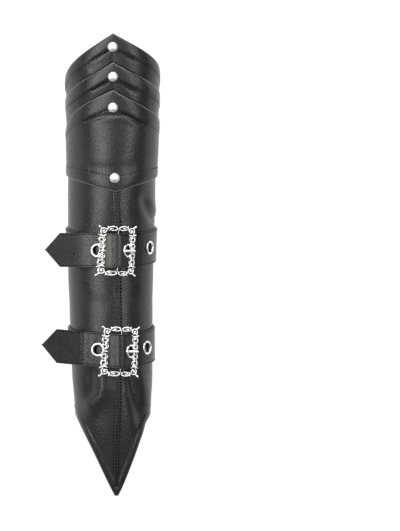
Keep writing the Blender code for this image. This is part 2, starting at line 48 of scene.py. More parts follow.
# %% [markdown]
# The picture looks straight down on the table through a long lens, so the arm's two ends show
# no vanishing. The camera stands eight metres up, and its lens is worked out from the height
# of the frame at the leather. The arm guard lies left of the frame's middle.

# %% Camera
MM_PER_PIXEL = 0.87
PICTURE = (400, 531)
AXIS_PIXEL = (112, 264.5)
AXIS_X = 9.7
CAMERA_HEIGHT = 8
SHARP_HEIGHT = 0.030
SENSOR = 36


def from_pixel(px, py):
    """Across and along the arm, in mm, of a point of the picture seen from above."""
    return (px - AXIS_PIXEL[0]) * MM_PER_PIXEL + AXIS_X, (AXIS_PIXEL[1] - py) * MM_PER_PIXEL


def new_object(name, data):
    """An object in the scene that shows some data."""
    made = bpy.data.objects.new(name, data)
    bpy.context.scene.collection.objects.link(made)
    return made


aim = from_pixel(PICTURE[0] / 2, PICTURE[1] / 2)
view_height = PICTURE[1] * MM_PER_PIXEL * MM
camera = new_object("camera", bpy.data.cameras.new("camera"))
camera.data.sensor_width = SENSOR
camera.data.lens = SENSOR * (CAMERA_HEIGHT - SHARP_HEIGHT) / view_height
camera.data.clip_end = 100
camera.location = (aim[0] * MM, aim[1] * MM, CAMERA_HEIGHT)
bpy.context.scene.camera = camera
print("lens", round(camera.data.lens), "mm, aimed at", [round(v, 1) for v in aim])

# %% [markdown]
# Colours are written as hex values of the screen, and one function turns them to the linear
# light that the shaders work in. Another adds one node with its settings and its links.

# %% Colours and nodes
def linear(code):
    """An sRGB hex colour as linear light, with alpha 1: the screen's curve taken off."""
    value = np.array([int(code[i : i + 2], 16) for i in (1, 3, 5)]) / 255
    light = np.where(value <= 0.04045, value / 12.92, ((value + 0.055) / 1.055) ** 2.4)
    return (*light.tolist(), 1)


def add_node(tree, kind, inputs=None, **settings):
    """One node; each input is a plain value, a node whose first output feeds it, or a socket."""
    node = tree.nodes.new("ShaderNode" + kind)
    for name, value in settings.items():
        setattr(node, name, value)
    for name, value in (inputs or {}).items():
        if isinstance(value, bpy.types.Node):
            value = value.outputs[0]
        if isinstance(value, bpy.types.NodeSocket):
            tree.links.new(value, node.inputs[name])
        else:
            node.inputs[name].default_value = value
    return node


# A Mix node keeps its colour sockets after those for numbers and vectors
MIX_SHARE, MIX_FROM, MIX_TO, MIX_RESULT = 0, 6, 7, 2
WHITE = linear("#ffffff")


def new_finish(name):
    """An empty material, its node tree and the piece's own coordinates."""
    made = bpy.data.materials.new(name)
    made.use_nodes = True
    tree = made.node_tree
    tree.nodes.clear()
    return made, tree, add_node(tree, "TexCoord").outputs["Object"]


def shade(tree, inputs):
    """Adds the shader, with plain values set on its own sockets, and the output."""
    shader = add_node(tree, "BsdfPrincipled", inputs)
    add_node(tree, "OutputMaterial", {"Surface": shader})


print("black leather in linear light:", [round(v, 4) for v in linear("#0b0c0e")[:3]])

# %% [markdown]
# The studio is a light table, which is a sheet of opal acrylic lit from below, and three
# soft boxes. Two of them make one long band of light each on the round of the arm, a wide one
# left of the ridge and a narrower one right of it. The third, beyond the elbow, draws a bright
# line along the plates' upper edges. The table shows no shadow, and it lights the rims, where
# leather mirrors most. The walls turn dark above the table, most of all on the right, and the
# ceiling is pale, so bright metal has something dark and something light to mirror.

# %% Table, ceiling and soft boxes
SOFT_BOXES = {
    "left_soft_box": {"turn": -36, "along": 0.45, "size": (1.15, 1.8), "power": 29.5},
    "right_soft_box": {"turn": 36, "along": 0.45, "size": (0.5, 1.8), "power": 14},
    "elbow_soft_box": {"tilt": 52, "size": (1.6, 0.8), "power": 26},
}
BOX_REACH = 1.9
CEILING_GLOW = 0.8
WALL_GLOW = 0.32
HORIZON_SPAN = (-0.3, 0.5)
HORIZON_GLOW = (1, 0.2)
WALL_FOOT, WALL_TOP = 0.3, 0.7
TABLE_GLOW = 0.9
FLOOR_HALF = 4

for name, box in SOFT_BOXES.items():
    light = bpy.data.lights.new(name, "AREA")
    light.shape = "RECTANGLE"
    light.size, light.size_y = box["size"]
    light.energy = box["power"]
    lamp = new_object(name, light)
    turn, tilt = (math.radians(box.get(key, 0)) for key in ("turn", "tilt"))
    lamp.location = (
        BOX_REACH * math.sin(turn), BOX_REACH * math.sin(tilt) + box.get("along", 0),
        BOX_REACH * math.cos(turn) * math.cos(tilt),
    )
    lamp.rotation_euler = (-tilt, turn, 0)

world = bpy.data.worlds.new("studio")
world.use_nodes = True
bpy.context.scene.world = world
sky = world.node_tree
sky.nodes.clear()
way = add_node(sky, "TexCoord").outputs["Generated"]
way = add_node(sky, "SeparateXYZ", {"Vector": way}).outputs
horizon = add_node(
    sky, "MapRange",
    {"Value": way["X"], "From Min": HORIZON_SPAN[0], "From Max": HORIZON_SPAN[1],
     "To Min": HORIZON_GLOW[0], "To Max": HORIZON_GLOW[1]},
    interpolation_type="SMOOTHSTEP",
)
low = add_node(
    sky, "MapRange",
    {"Value": way["Z"], "From Max": WALL_FOOT, "To Min": horizon, "To Max": WALL_GLOW},
    interpolation_type="SMOOTHSTEP",
)
high = add_node(
    sky, "MapRange", {"Value": way["Z"], "From Min": WALL_TOP, "To Max": CEILING_GLOW - WALL_GLOW},
    interpolation_type="SMOOTHSTEP",
)
glow = add_node(sky, "Math", {0: low, 1: high}, operation="ADD")
backdrop = add_node(sky, "Background", {"Color": WHITE, "Strength": glow})
add_node(sky, "OutputWorld", {"Surface": backdrop})
bpy.context.scene.view_settings.view_transform = "Standard"

table_mesh = bpy.data.meshes.new("table")
corners = [(x * FLOOR_HALF, y * FLOOR_HALF, 0) for x, y in ((-1, -1), (1, -1), (1, 1), (-1, 1))]
table_mesh.from_pydata(corners, [], [(0, 1, 2, 3)])
table = new_object("table", table_mesh)
acrylic, tree, _ = new_finish("opal_acrylic")
shade(tree, {
    "Base Color": linear("#6e6e6e"), "Roughness": 0.9, "Specular IOR Level": 0.1,
    "Emission Color": WHITE, "Emission Strength": TABLE_GLOW,
})
table_mesh.materials.append(acrylic)
print("lamps:", ", ".join(SOFT_BOXES))

# %% [markdown]
# The leather is chrome-tanned and finished with a thin coat of black pigment. The coat gives a
# half-gloss skin over a pebbled grain of about a millimetre. Cells of noise make the pebbles
# and a finer noise the pores. The coat shines on top of each pebble and is dull in the creases
# between them, and a slow noise shifts colour and gloss from place to place as the coat wears.
# An attribute of the mesh marks folded edges and bends, which are painted pale grey there as a
# highlight, standing in for the light that they catch.

# %% Leather finishes
GRAIN_MM = 1.15
PORE_MM = 0.7
PORE_SHARE = 0.35
PATCH_MM = 14
WEAR_SPAN = (0.35, 0.7)
COAT_SPAN = (0.3, 0.7)
CREASE_SPAN = (0.5, 0.85)
CREASE_DULLNESS = 0.18
COAT_SHEEN_LEVEL = 0.5
LEATHER_IOR = 1.48


def leather_finish(name, skin, wear_and_highlight, painted_highlight_colour, gloss, grain_mm, depth_mm):
    """Pebbled leather: cell noise for the grain, fine noise for pores, slow noise for wear."""
    made, tree, place = new_finish(name)
    pebble = add_node(
        tree, "TexVoronoi", {"Vector": place, "Scale": 1 / (grain_mm * MM), "Randomness": 1},
        feature="SMOOTH_F1",
    )
    pore = add_node(tree, "TexNoise", {"Vector": place, "Scale": 1 / (PORE_MM * MM), "Detail": 2})
    patch = add_node(tree, "TexNoise", {"Vector": place, "Scale": 1 / (PATCH_MM * MM), "Detail": 3})
    height = add_node(tree, "Math", {0: pore, 1: PORE_SHARE, 2: pebble}, operation="MULTIPLY_ADD")
    bump = add_node(
        tree, "Bump", {"Height": height, "Strength": 1, "Distance": depth_mm * MM}, invert=True
    )
    wear = add_node(
        tree, "MapRange", {"Value": patch, "From Min": WEAR_SPAN[0], "From Max": WEAR_SPAN[1]}
    )
    coloured = add_node(
        tree, "Mix", {MIX_SHARE: wear, MIX_FROM: linear(skin), MIX_TO: linear(wear_and_highlight)}, data_type="RGBA"
    )
    # The attribute is the share of painted highlight, a pale grey laid on edges and bends
    fold = add_node(tree, "Attribute", attribute_name="painted_highlight").outputs["Fac"]
    colour = add_node(
        tree, "Mix",
        {MIX_SHARE: fold, MIX_FROM: coloured.outputs[MIX_RESULT], MIX_TO: linear(painted_highlight_colour)},
        data_type="RGBA",
    )
    coat = add_node(
        tree, "MapRange",
        {"Value": patch, "From Min": COAT_SPAN[0], "From Max": COAT_SPAN[1],
         "To Min": gloss[0], "To Max": gloss[1]},
    )
    crease = add_node(
        tree, "MapRange",
        {"Value": height, "From Min": CREASE_SPAN[0], "From Max": CREASE_SPAN[1],
         "To Max": CREASE_DULLNESS},
    )
    shade(tree, {
        "Base Color": colour.outputs[MIX_RESULT], "Normal": bump,
        "Roughness": add_node(tree, "Math", {0: coat, 1: crease}, operation="ADD"),
        "IOR": LEATHER_IOR, "Specular IOR Level": COAT_SHEEN_LEVEL,
    })
    return made


# Each leather: its skin, its worn patches, the pale grey of its painted highlight, its gloss, grain
# and bump
black_leather = leather_finish(
    "pigmented_black_leather", "#0b0c0e", "#131417", "#747575", (0.23, 0.29), GRAIN_MM, 0.17
)
strap_leather = leather_finish(
    "waxed_strap_leather", "#090908", "#11110f", "#737269", (0.22, 0.3), 1.3, 0.19
)
print("grain", GRAIN_MM, "mm, pores", PORE_MM, "mm")

# %% [markdown]
# All of the leather lies on one surface, the round of the forearm. Its front is half an
# ellipse and its back is flat where it lies, with a quarter ellipse at each corner. A few
# stations from the elbow to the hand give the sizes of that section, and a smooth cubic joins
# them. A piece of leather is then only a patch of that surface, raised by a few millimetres.

# %% The round of the arm
BACK_LEVEL = 2
CORNER_WIDTH = 22
CORNER_SHARE = 0.6
COLUMNS = ("y", "left", "right", "widest", "crest", "twist")
STATIONS = np.array((
    (-201, -26, 33.4, 17, 38, 0),
    (-168, -28.8, 33.2, 21, 47, 3.1),
    (-130, -32.2, 33.6, 23, 55, 7.8),
    (-118, -33.1, 34.1, 23.5, 56.5, 8.8),
    (-90, -34.8, 35.1, 24, 59, 10),
    (-48, -36.6, 35.1, 24.5, 61, 11),
    (-7, -38.1, 35.8, 25, 63, 10.5),
    (40, -38.3, 37.3, 25.5, 66, 8.5),
    (63, -38.3, 37.5, 26, 67.5, 5.5),
    (90, -38.4, 38.3, 26.5, 69, 4),
    (118, -38.9, 39.3, 26.5, 70, 2.4),
    (140, -38.9, 39.6, 27, 70.5, 2),
    (165, -39.8, 40, 27, 71, 1.8),
    (202, -39.6, 40, 27, 71, 1.5),
))


def cubic_shares(t):
    """Shares of two ends and of their two slopes in a smooth cubic, for t from 0 to 1."""
    return 2 * t**3 - 3 * t**2 + 1, 3 * t**2 - 2 * t**3, t**3 - 2 * t**2 + t, t**3 - t**2


def station(name, y):
    """A cubic through one column of the stations, its slopes taken from the neighbours."""
    along = STATIONS[:, 0]
    value = STATIONS[:, COLUMNS.index(name)]
    slope = np.gradient(value, along)
    y = np.clip(y, along[0], along[-1])
    i = np.clip(np.searchsorted(along, y) - 1, 0, len(along) - 2)
    step = along[i + 1] - along[i]
    start, stop, leave, arrive = cubic_shares((y - along[i]) / step)
    rise = value[i] * start + value[i + 1] * stop
    return rise + step * (slope[i] * leave + slope[i + 1] * arrive)


def station_middle(y):
    """The middle of the section at y, and half its width."""
    left, right = station("left", y), station("right", y)
    return (left + right) / 2, (right - left) / 2


def front_angle(x, y):
    """The angle on the front of the section at y where it lies x across."""
    middle, half = station_middle(y)
    return np.degrees(np.arcsin((x - middle) / half))


def ease(share):
    """A smooth step from 0 to 1 as the share goes from 0 to 1."""
    share = np.clip(share, 0, 1)
    return share * share * (3 - 2 * share)


# The cuff lies rolled a little to the right, with its shoulders pressed out towards the elbow:
# height, where it starts along the arm, and over what length it grows
CUFF_ROLL = (1.9, 35, 70)
CUFF_SHOULDER = (2, 85, 50)


def cuff_swell(y, front):
    """Roll x sin(2 angle) + shoulder x sin squared(2 angle), by the angle on the front."""
    roll, shoulder = (
        height * ease((y - start) / reach) for height, start, reach in (CUFF_ROLL, CUFF_SHOULDER)
    )
    wave = np.sin(2 * front)
    return roll * wave + shoulder * wave**2


def arm_point(y, angle, lift=0):
    """Points on the round of the arm, raised along its normal by lift.

    The angle is 0 at the front, 90 at the right and 180 at the back. Up to 90 a point is
    (half width x sine, crest height x cosine); past it a quarter ellipse turns under, and
    then the back runs flat to the middle. The cuff's swell adds to the lift.
    """
    y, angle, lift = np.broadcast_arrays(y, angle, lift)
    middle, half = station_middle(y)
    widest = station("widest", y)
    rise = station("crest", y) - widest
    turned = (angle + 180) % 360 - 180
    side, size = np.sign(turned), np.abs(turned)
    front = np.radians(np.minimum(size, 90))
    lift = lift + cuff_swell(y, side * front)
    share = np.clip(size / 90 - 1, 0, 1)
    corner = np.radians(90) * np.minimum(share / CORNER_SHARE, 1)
    flat = np.clip((share - CORNER_SHARE) / (1 - CORNER_SHARE), 0, 1)
    depth = widest - BACK_LEVEL
    on_front = size <= 90
    under = (half - CORNER_WIDTH + CORNER_WIDTH * np.cos(corner)) * (1 - flat)
    x = np.where(on_front, half * np.sin(front), under)
    z = np.where(on_front, widest + rise * np.cos(front), widest - depth * np.sin(corner))
    out_x = np.where(on_front, rise * np.sin(front), depth * np.cos(corner))
    out_z = np.where(on_front, half * np.cos(front), -CORNER_WIDTH * np.sin(corner))
    length = np.hypot(out_x, out_z)
    x = middle + side * x + lift * side * out_x / length
    return np.stack([x, y, z + lift * out_z / length], axis=-1)


def unit(vectors):
    """The same directions, each with the length one."""
    return vectors / np.linalg.norm(vectors, axis=-1, keepdims=True)


def leather_angle(y, angle):
    """The leather is wrapped with a slow twist, so its own middle runs a little to the right."""
    return angle + station("twist", y) * np.maximum(np.cos(np.radians(angle)), 0)


print("half width at the elbow", round(float(station("right", 202)), 1), "mm")

# %% [markdown]
# Every new piece is a grid of points. One helper turns such a grid into a mesh in metres,
# moved to the arm's place beside the origin, with its faces pointing out.

# %% Grids to meshes
WALL_ROUND = 5
INNER_EVERY = 2


def grid_faces(rows, columns, close_columns=False, close_rows=False):
    """The corner numbers of every quad of a grid, as one array."""
    index = np.arange(rows * columns).reshape(rows, columns)
    if close_columns:
        index = np.concatenate([index, index[:, :1]], axis=1)
    if close_rows:
        index = np.concatenate([index, index[:1]], axis=0)
    quads = np.stack([index[:-1, :-1], index[1:, :-1], index[1:, 1:], index[:-1, 1:]], axis=-1)
    return quads.reshape(-1, 4)


def outward(points, faces):
    """The faces, turned round if the volume they enclose comes out negative."""
    a, b, c = (points[faces[:, k]] for k in (0, 1, 2))
    volume = np.einsum("ij,ij->i", a, np.cross(b, c)).sum()
    if faces.shape[1] == 4:
        d = points[faces[:, 3]]
        volume += np.einsum("ij,ij->i", a, np.cross(c, d)).sum()
    return faces if volume > 0 else faces[:, ::-1]


def make_mesh(name, points, faces, edge=None):
    """A mesh from points in mm and faces of three or four corners, set as whole arrays, with
    the share of painted highlight at each point if it is given."""
    mesh = bpy.data.meshes.new(name)
    placed = (points.reshape(-1, 3) + (AXIS_X, 0, 0)) * MM
    faces = np.asarray(faces)
    mesh.vertices.add(len(placed))
    mesh.vertices.foreach_set("co", placed.astype(np.float32).ravel())
    mesh.loops.add(faces.size)
    mesh.loops.foreach_set("vertex_index", faces.astype(np.int32).ravel())
    mesh.polygons.add(len(faces))
    starts = np.arange(len(faces), dtype=np.int32) * faces.shape[1]
    mesh.polygons.foreach_set("loop_start", starts)
    mesh.update(calc_edges=True)
    mesh.validate()
    if edge is not None:
        # The share of painted highlight is kept as an attribute of the points
        wear_and_highlight = mesh.attributes.new("painted_highlight", "FLOAT", "POINT")
        wear_and_highlight.data.foreach_set("value", edge.astype(np.float32).ravel())
    mesh.shade_smooth()
    return mesh


def add_piece(mesh, finish, slot, *nodes):
    """A piece of the arm guard that rides on its one body and stands for some solids."""
    piece = new_object(mesh.name, mesh)
    mesh.materials.append(finish)
    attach(piece, "root")
    if nodes:
        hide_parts(*nodes)
    return piece


def capped_rings(rings, ends):
    """Rings of points joined by triangles, with a fan to a point at each end."""
    rows, sides = rings.shape[:2]
    quads = grid_faces(rows, sides, close_columns=True)
    first = np.arange(sides)
    following = (first + 1) % sides
    count = rows * sides
    last = count - sides
    points = np.concatenate([rings.reshape(-1, 3), ends])
    faces = np.concatenate([
        quads[:, [0, 1, 2]], quads[:, [0, 2, 3]],
        np.stack([first, following, np.full(sides, count)], axis=-1),
        np.stack([first + last, np.full(sides, count + 1), following + last], axis=-1),
    ])
    return points, outward(points, faces)


def closed_wall(y, lift, wall):
    """Rows round a leather wall: its outer face, a half round at the foot, its inner face back
    up, and a half round at the top, so that the rows close on themselves."""
    turn = np.radians(np.linspace(0, 180, WALL_ROUND + 2))[1:-1, None]
    half = wall / 2
    rows = [y, y[-1] - half * np.sin(turn), y[::-INNER_EVERY], y[0] + half * np.sin(turn[::-1])]
    lifts = [
        lift,
        lift[-1] - half + half * np.cos(turn),
        (lift - wall)[::-INNER_EVERY],
        lift[0] - half + half * np.cos(turn[::-1]),
    ]
    return np.concatenate(rows), np.concatenate(lifts)


def wall_piece(name, node, angles, y, lift, wall, wear_and_highlight):
    """A leather wall as a piece; its last argument gives the share of painted highlight for each place
    along it.
    """
    wall_y, wall_lift = closed_wall(y, lift, wall)
    points = arm_point(wall_y, leather_angle(wall_y, angles), wall_lift)
    faces = grid_faces(*wall_y.shape, close_columns=True, close_rows=True)
    mesh = make_mesh(name, points, faces, wear_and_highlight(wall_y))
    add_piece(mesh, black_leather, "black_leather", node)
    print(name, "has", wall_y.shape[0], "rows of", wall_y.shape[1], "columns")


print("a grid of 3 by 3 points has", len(grid_faces(3, 3)), "faces")

# %% [markdown]
# Leather that has been worn and packed keeps soft folds. Each is a ridge or a valley along a
# broken line seen from above, with the bell curve as its section. A seam is a low welt with a
# fine groove down its middle and a row of stitches sunk in each flank.

# %% Folds and seams
# Each fold: x and y of the points of its line, its width and its height
SLEEVE_FOLDS = (
    (((28.5, 56), (30.5, 48), (35.5, 39)), 3.6, -1.4),
    (((35, 53), (38, 43)), 2.8, 1),
    (((12.8, -97), (13, -113)), 2.4, 0.5),
    (((-16, 27), (8, 25)), 5, -0.35),
    (((-24, -30), (-6, -34)), 6, -0.35),
    (((8, -24), (26, -31)), 6, -0.35),
)
HAND_FOLDS = (
    (((-18.5, -98), (-19, -110)), 6, -1.7),
    (((-8, -95), (-7.5, -107), (-10, -114.5), (-17.5, -121.5)), 6.5, 2.2),
    (((15.5, -98), (20, -114), (26, -136)), 5.5, -2.3),
    (((26, -99), (28.5, -108), (32, -122)), 5.5, 1.2),
)
HAND_FADE = (24, 12)
FOLD_FROM = 20
SLACK_FROM = 12
PANEL_FOLDS = (
    (((-22, 124), (-4.3, 129), (10, 129.5), (26, 122)), 1.8, -0.8),
    (((-8, 125), (12, 125.5), (26, 118.5)), 2.6, 0.4),
    (((-16, 83), (16, 84)), 5, -0.7),
)
LAME_FOLDS = (
    (((-3, 184), (-15, 177)), 1.6, -0.5),
    (((6, 183.5), (18, 176.5)), 1.8, -0.5),
    (((-20, 166), (-27, 158)), 3, 0.5),
    (((-3, 157.5), (-16, 150.5)), 1.6, -0.5),
    (((6, 157), (20, 149)), 1.8, -0.6),
    (((24, 160), (31, 152)), 2.6, 0.5),
)
SEAM_STITCH = 2.5
SEAM_LIFT, SEAM_WIDTH = 0.3, 1.6
SEAM_GROOVE, GROOVE_WIDTH = 0.7, 0.48
SEAM_RIDGE, RIDGE_WIDTH, RIDGE_OFF = 0.5, 0.5, 0.95
STITCH_SINK, STITCH_SINK_WIDTH = 0.15, 0.5
STRAP_LEVELS = (15, -72)
STRAP_CALM, STRAP_PULL = 17, 0.8


def bell(off, width):
    """The bell curve, 1 in the middle and falling off over a width."""
    return np.exp(-((off / width) ** 2))


def fold_height(points, folds):
    """Sum of bell curves of the distance to each fold's line, on the upper side only."""
    height = np.zeros(points.shape[:-1])
    for line, width, rise in folds:
        off = np.full(height.shape, np.inf)
        for (x0, y0), (x1, y1) in zip(line, line[1:]):
            dx, dy = x1 - x0, y1 - y0
            along = ((points[..., 0] - x0) * dx + (points[..., 1] - y0) * dy) / (dx**2 + dy**2)
            along = np.clip(along, 0, 1)
            step = np.hypot(points[..., 0] - x0 - along * dx, points[..., 1] - y0 - along * dy)
            off = np.minimum(off, step)
        height += rise * bell(off, width)
    return height * (points[..., 2] > BACK_LEVEL + FOLD_FROM)


def off_the_rim(points):
    """One on the crown of the arm and none at its rim, so that a fold keeps the outline."""
    low, rise = HAND_FADE
    return ease((points[..., 2] - low) / rise)


def seam_height(off):
    """A welt with a groove in its middle, one lip beside it higher than the other, and a sunk
    row of stitches on each flank."""
    welt = SEAM_LIFT * bell(off, SEAM_WIDTH) + SEAM_RIDGE * bell(off - RIDGE_OFF, RIDGE_WIDTH)
    groove = -SEAM_GROOVE * bell(off, GROOVE_WIDTH)
    return welt + groove - STITCH_SINK * bell(np.abs(off) - SEAM_STITCH, STITCH_SINK_WIDTH)


def slack(points, size, height, shift=0):
    """Slow waves of three directions on the upper side, as leather is never stretched even."""
    x, y, z = ((points[..., k] + shift) / size for k in range(3))
    waves = np.sin(x + 1.7 * y + 0.4) + np.sin(1.3 * y - 0.9 * x + z + 2) + np.sin(0.8 * x + z - y)
    return height * waves / 3 * (points[..., 2] > BACK_LEVEL + SLACK_FROM)


def between_straps(y):
    """One between the straps and small under them, where the leather is pulled tight."""
    upper, lower = (bell(y - level, STRAP_CALM) for level in STRAP_LEVELS)
    return 1 - STRAP_PULL * np.maximum(upper, lower)


def edge_lean(edge, angle, radius):
    """Cosine of the slope of an edge, which turns heights along the arm to true distances."""
    return np.cos(np.arctan(np.gradient(edge, angle) / (np.radians(1) * radius)))


print("seam welt", SEAM_LIFT, "mm high, stitches", SEAM_STITCH, "mm from its middle")

# %% [markdown]
# The sleeve is the inner tube. It ends under the cuff's last plate at one end and in a long
# point over the hand at the other. That end's edge is straight across behind and a V in front.
# It is hemmed: the leather is folded in, so the V is thicker along its edge, and the stitch
# line pulls it down seven millimetres in.

# %% Sleeve
SLEEVE_WALL = 1.5
SLEEVE_TOP, HIDDEN_TO, LEVEL_TO = 104, 60, -106
HIDDEN_ROWS, LEVEL_ROWS, POINT_ROWS = 14, 128, 58
HAND_CORNER_Y, HAND_POINT_Y, HAND_TIP_Y = -129.6, -202.5, -200.3
HAND_POWER_LEFT, HAND_POWER_RIGHT = 1.1, 1.25
HAND_EDGE_ROUNDS = 6
HEM_WIDTH, HEM_LIFT = 7, 0.9
HEM_ROUND, HEM_STEP, HEM_PUFF = 0.9, 0.7, 0.3
HEM_SINK, HEM_SINK_WIDTH = 0.2, 0.8
HEM_STEPS = np.array((
    13, 11, 9.4, 8.4, 7.7, 7.2, 6.8, 6.3, 5.6, 4.6, 3.4, 2.2, 1.2, 0.6, 0.2, 0,
))
FINE_REACH, BEHIND_FROM = 5.6, 104
SLEEVE_FINE, FRONT_COLUMNS, BACK_COLUMNS = 25, 62, 16
SLEEVE_RADIUS = 36
SEAM_REACH = 40
SEAM_FADE, SEAM_LEAST = 12, 0.25
HEM_FULL_TO, HEM_FADE = 45, 30
# Share and width of the painted highlight along the hand's edge
HAND_HIGHLIGHT, HAND_HIGHLIGHT_WIDTH = 0.5, 0.6
SLEEVE_SLACK = (11, 0.3)


def hand_edge(angle):
    """Height of the hand's edge: a power of the sine from the point to the two corners."""
    size = np.minimum(np.abs(angle), 90)
    power = np.where(angle > 0, HAND_POWER_RIGHT, HAND_POWER_LEFT)
    across = np.sin(np.radians(size)) ** power
    return np.maximum(HAND_POINT_Y + (HAND_CORNER_Y - HAND_POINT_Y) * across, HAND_TIP_Y)


def hand_edge_on_leather(angle):
    """The same edge at an angle counted on the leather, found by a few rounds of trying."""
    ends = hand_edge(angle)
    for _ in range(HAND_EDGE_ROUNDS):
        ends = hand_edge(leather_angle(ends, angle))
    return ends


def hem_height(off, width, lift):
    """Over a hem, by distance from its edge: a puffed band that ends at a sunk stitch line."""
    band = 1 / (1 + np.exp(np.minimum((off - width) / HEM_STEP, 50)))
    rounded = 1 - np.exp(-off / HEM_ROUND)
    puff = 1 - HEM_PUFF + HEM_PUFF * np.sin(np.pi * np.clip(off / width, 0, 1))
    return lift * band * rounded * puff - HEM_SINK * bell(off - width, HEM_SINK_WIDTH)


def round_columns(fine):
    """Angles round the arm: fine ones at the seam, even ones on the front, few behind."""
    seam = np.linspace(-FINE_REACH, FINE_REACH, fine)
    side = np.linspace(FINE_REACH, BEHIND_FROM, FRONT_COLUMNS)[1:]
    behind = np.linspace(BEHIND_FROM, 180, BACK_COLUMNS)[1:]
    right = np.concatenate([side, behind])
    return np.concatenate([-right[-2::-1], seam, right])


angles = round_columns(SLEEVE_FINE)
edge = hand_edge_on_leather(angles)
lean = edge_lean(edge, angles, SLEEVE_RADIUS)
hem = edge + HEM_STEPS[:, None] / lean
level = np.concatenate([
    np.linspace(SLEEVE_TOP, HIDDEN_TO, HIDDEN_ROWS, endpoint=False),
    np.linspace(HIDDEN_TO, LEVEL_TO, LEVEL_ROWS),
])
share = (np.arange(1, POINT_ROWS) / POINT_ROWS)[:, None]
y = np.concatenate([
    np.repeat(level[:, None], len(angles), axis=1),
    LEVEL_TO + (hem[0] - LEVEL_TO) * share,
    hem,
])
to_edge = (y - edge) * lean
lift = seam_height(station_middle(y)[1] * np.sin(np.radians(angles))) * (np.abs(angles) < SEAM_REACH)
lift *= np.clip(to_edge / SEAM_FADE, SEAM_LEAST, 1)
bare = arm_point(y, leather_angle(y, angles))
lift += fold_height(bare, SLEEVE_FOLDS) + fold_height(bare, HAND_FOLDS) * off_the_rim(bare)
lift += slack(bare, *SLEEVE_SLACK) * between_straps(y)
flat = 1 - np.clip((np.abs(angles) - HEM_FULL_TO) / HEM_FADE, 0, 1)
lift += hem_height(to_edge, HEM_WIDTH, HEM_LIFT) * flat


def sleeve_edge_highlight(y):
    """A painted highlight along the hand's edge."""
    off = (y - edge + SLEEVE_WALL / 2) * lean
    return HAND_HIGHLIGHT * bell(off, HAND_HIGHLIGHT_WIDTH) * (y < LEVEL_TO)


wall_piece("sleeve_leather", "sleeve", angles, y, lift, SLEEVE_WALL, sleeve_edge_highlight)

# %% [markdown]
# The cuff is three plates, like the lames of armour cut in leather. Each has a hemmed upper
# edge that rises to a peak, and the lower part of each is tucked under the hem of the next.
# An edge is a parabola on each side of the peak, level behind. The stitch line follows the
# edge, further from it at the peak than at the sides.

# %% Edges of the cuff's plates
# Each edge: its height in front, at 45 and 90 degrees on the left, the same on the right, behind
TOP_EDGE = (200.3, 180, 160.6, 181.9, 164, 156)
MIDDLE_EDGE = (174.9, 157.2, 144.4, 158.2, 147, 139.5)
PANEL_EDGE = (150.9, 136, 117.4, 134.1, 123.9, 114)
PANEL_FOOT = (62.8, 71.2, 77.6, 71.2, 77.4, 80)
EDGE_BACK_ANGLE = 150
PLATE_WALL = 1.2
PLATE_RADIUS = 38
PLATE_FINE = 15
PULLED_FLAT, PULLED_FROM, PULLED_OVER = 0.55, 40, 45
TUCK = 5
# Each stitch line: its distance from the edge in front, on the left and on the right
TOP_STITCH = (12, 8, 7.4)
MIDDLE_STITCH = (12.3, 10.3, 10)
PANEL_STITCH = (15, 7.2, 9.4)
FOOT_STITCH = (12.1, 7.4, 6.3)


def edge_height(edge, angle):
    """A plate's edge: front + (side - bend) t + bend t squared, t the share of a quarter turn,
    then a smooth step to the level back."""
    front, left_half, left_side, right_half, right_side, back = edge
    half = np.where(angle >= 0, right_half, left_half) - front
    whole = np.where(angle >= 0, right_side, left_side) - front
    t = np.minimum(np.abs(angle), 90) / 90
    bend = 2 * whole - 4 * half
    curve = front + (whole - bend) * t + bend * t**2
    return curve + (back - curve) * ease((np.abs(angle) - 90) / (EDGE_BACK_ANGLE - 90))


def stitch_offset(stitch, angle):
    """Distance of the stitch line from its edge, from the front value to the side's."""
    front, left, right = stitch
    side = np.where(angle >= 0, right, left)
    return side + (front - side) * np.maximum(np.cos(np.radians(angle)), 0)


plate_angles = round_columns(PLATE_FINE)
flat_side = np.clip((np.abs(plate_angles) - PULLED_FROM) / PULLED_OVER, 0, 1)
flat_side = 1 - PULLED_FLAT * flat_side
print("peaks at", [edge[0] for edge in (TOP_EDGE, MIDDLE_EDGE, PANEL_EDGE)], "mm")

# %% [markdown]
# In section a plate starts with a round fold at its edge. The hem behind it is two layers
# thick, and puffs up to the stitch line, which is pulled down into the leather. Below that the
# plate sinks slowly, and dips sharply where it goes under the next one. Round the sides of the
# arm the plates are pulled flatter.

# %% Two lames
HEM_SHARES = np.array((
    0, 0.04, 0.08, 0.13, 0.2, 0.3, 0.42, 0.55, 0.68, 0.78, 0.86, 0.91, 0.95, 0.98, 1, 1.02,
    1.05, 1.09, 1.15, 1.25,
))[:, None]
PLATE_LEVEL = 1.45
PLATE_HEM_LIFT = 0.85
LAME_ROWS = 11
LAST_ROWS = np.array((0.35, 0.7, 1))[:, None]
LAME_DIP, LAME_DIP_REACH = 0.9, 1.1
DIP_ABOVE, DIP_UNDER = 3, 0.6
# Width of the painted highlight along each plate edge
EDGE_HIGHLIGHT_WIDTH = 0.55
SINK_ROW = 9
PLATE_SLACK = (8, 0.16, 5)


def hem_rows(edge, stitch):
    """Rows from an edge to a little past its stitch line, and the hem's true width."""
    off = stitch_offset(stitch, plate_angles)
    below = PLATE_WALL / 2 + HEM_SHARES * off
    return below, off * edge_lean(edge, plate_angles, PLATE_RADIUS)


def plate_hem(edge, off, width):
    """Height of a plate's hem, by distance from its edge along the arm."""
    true_off = off * edge_lean(edge, plate_angles, PLATE_RADIUS)
    return hem_height(true_off, width, PLATE_HEM_LIFT) * flat_side


def plate_relief(y, lift, folds):
    """Adds folds and slack to a plate's height."""
    bare = arm_point(y, leather_angle(y, plate_angles))
    return lift + fold_height(bare, folds) + slack(bare, *PLATE_SLACK)


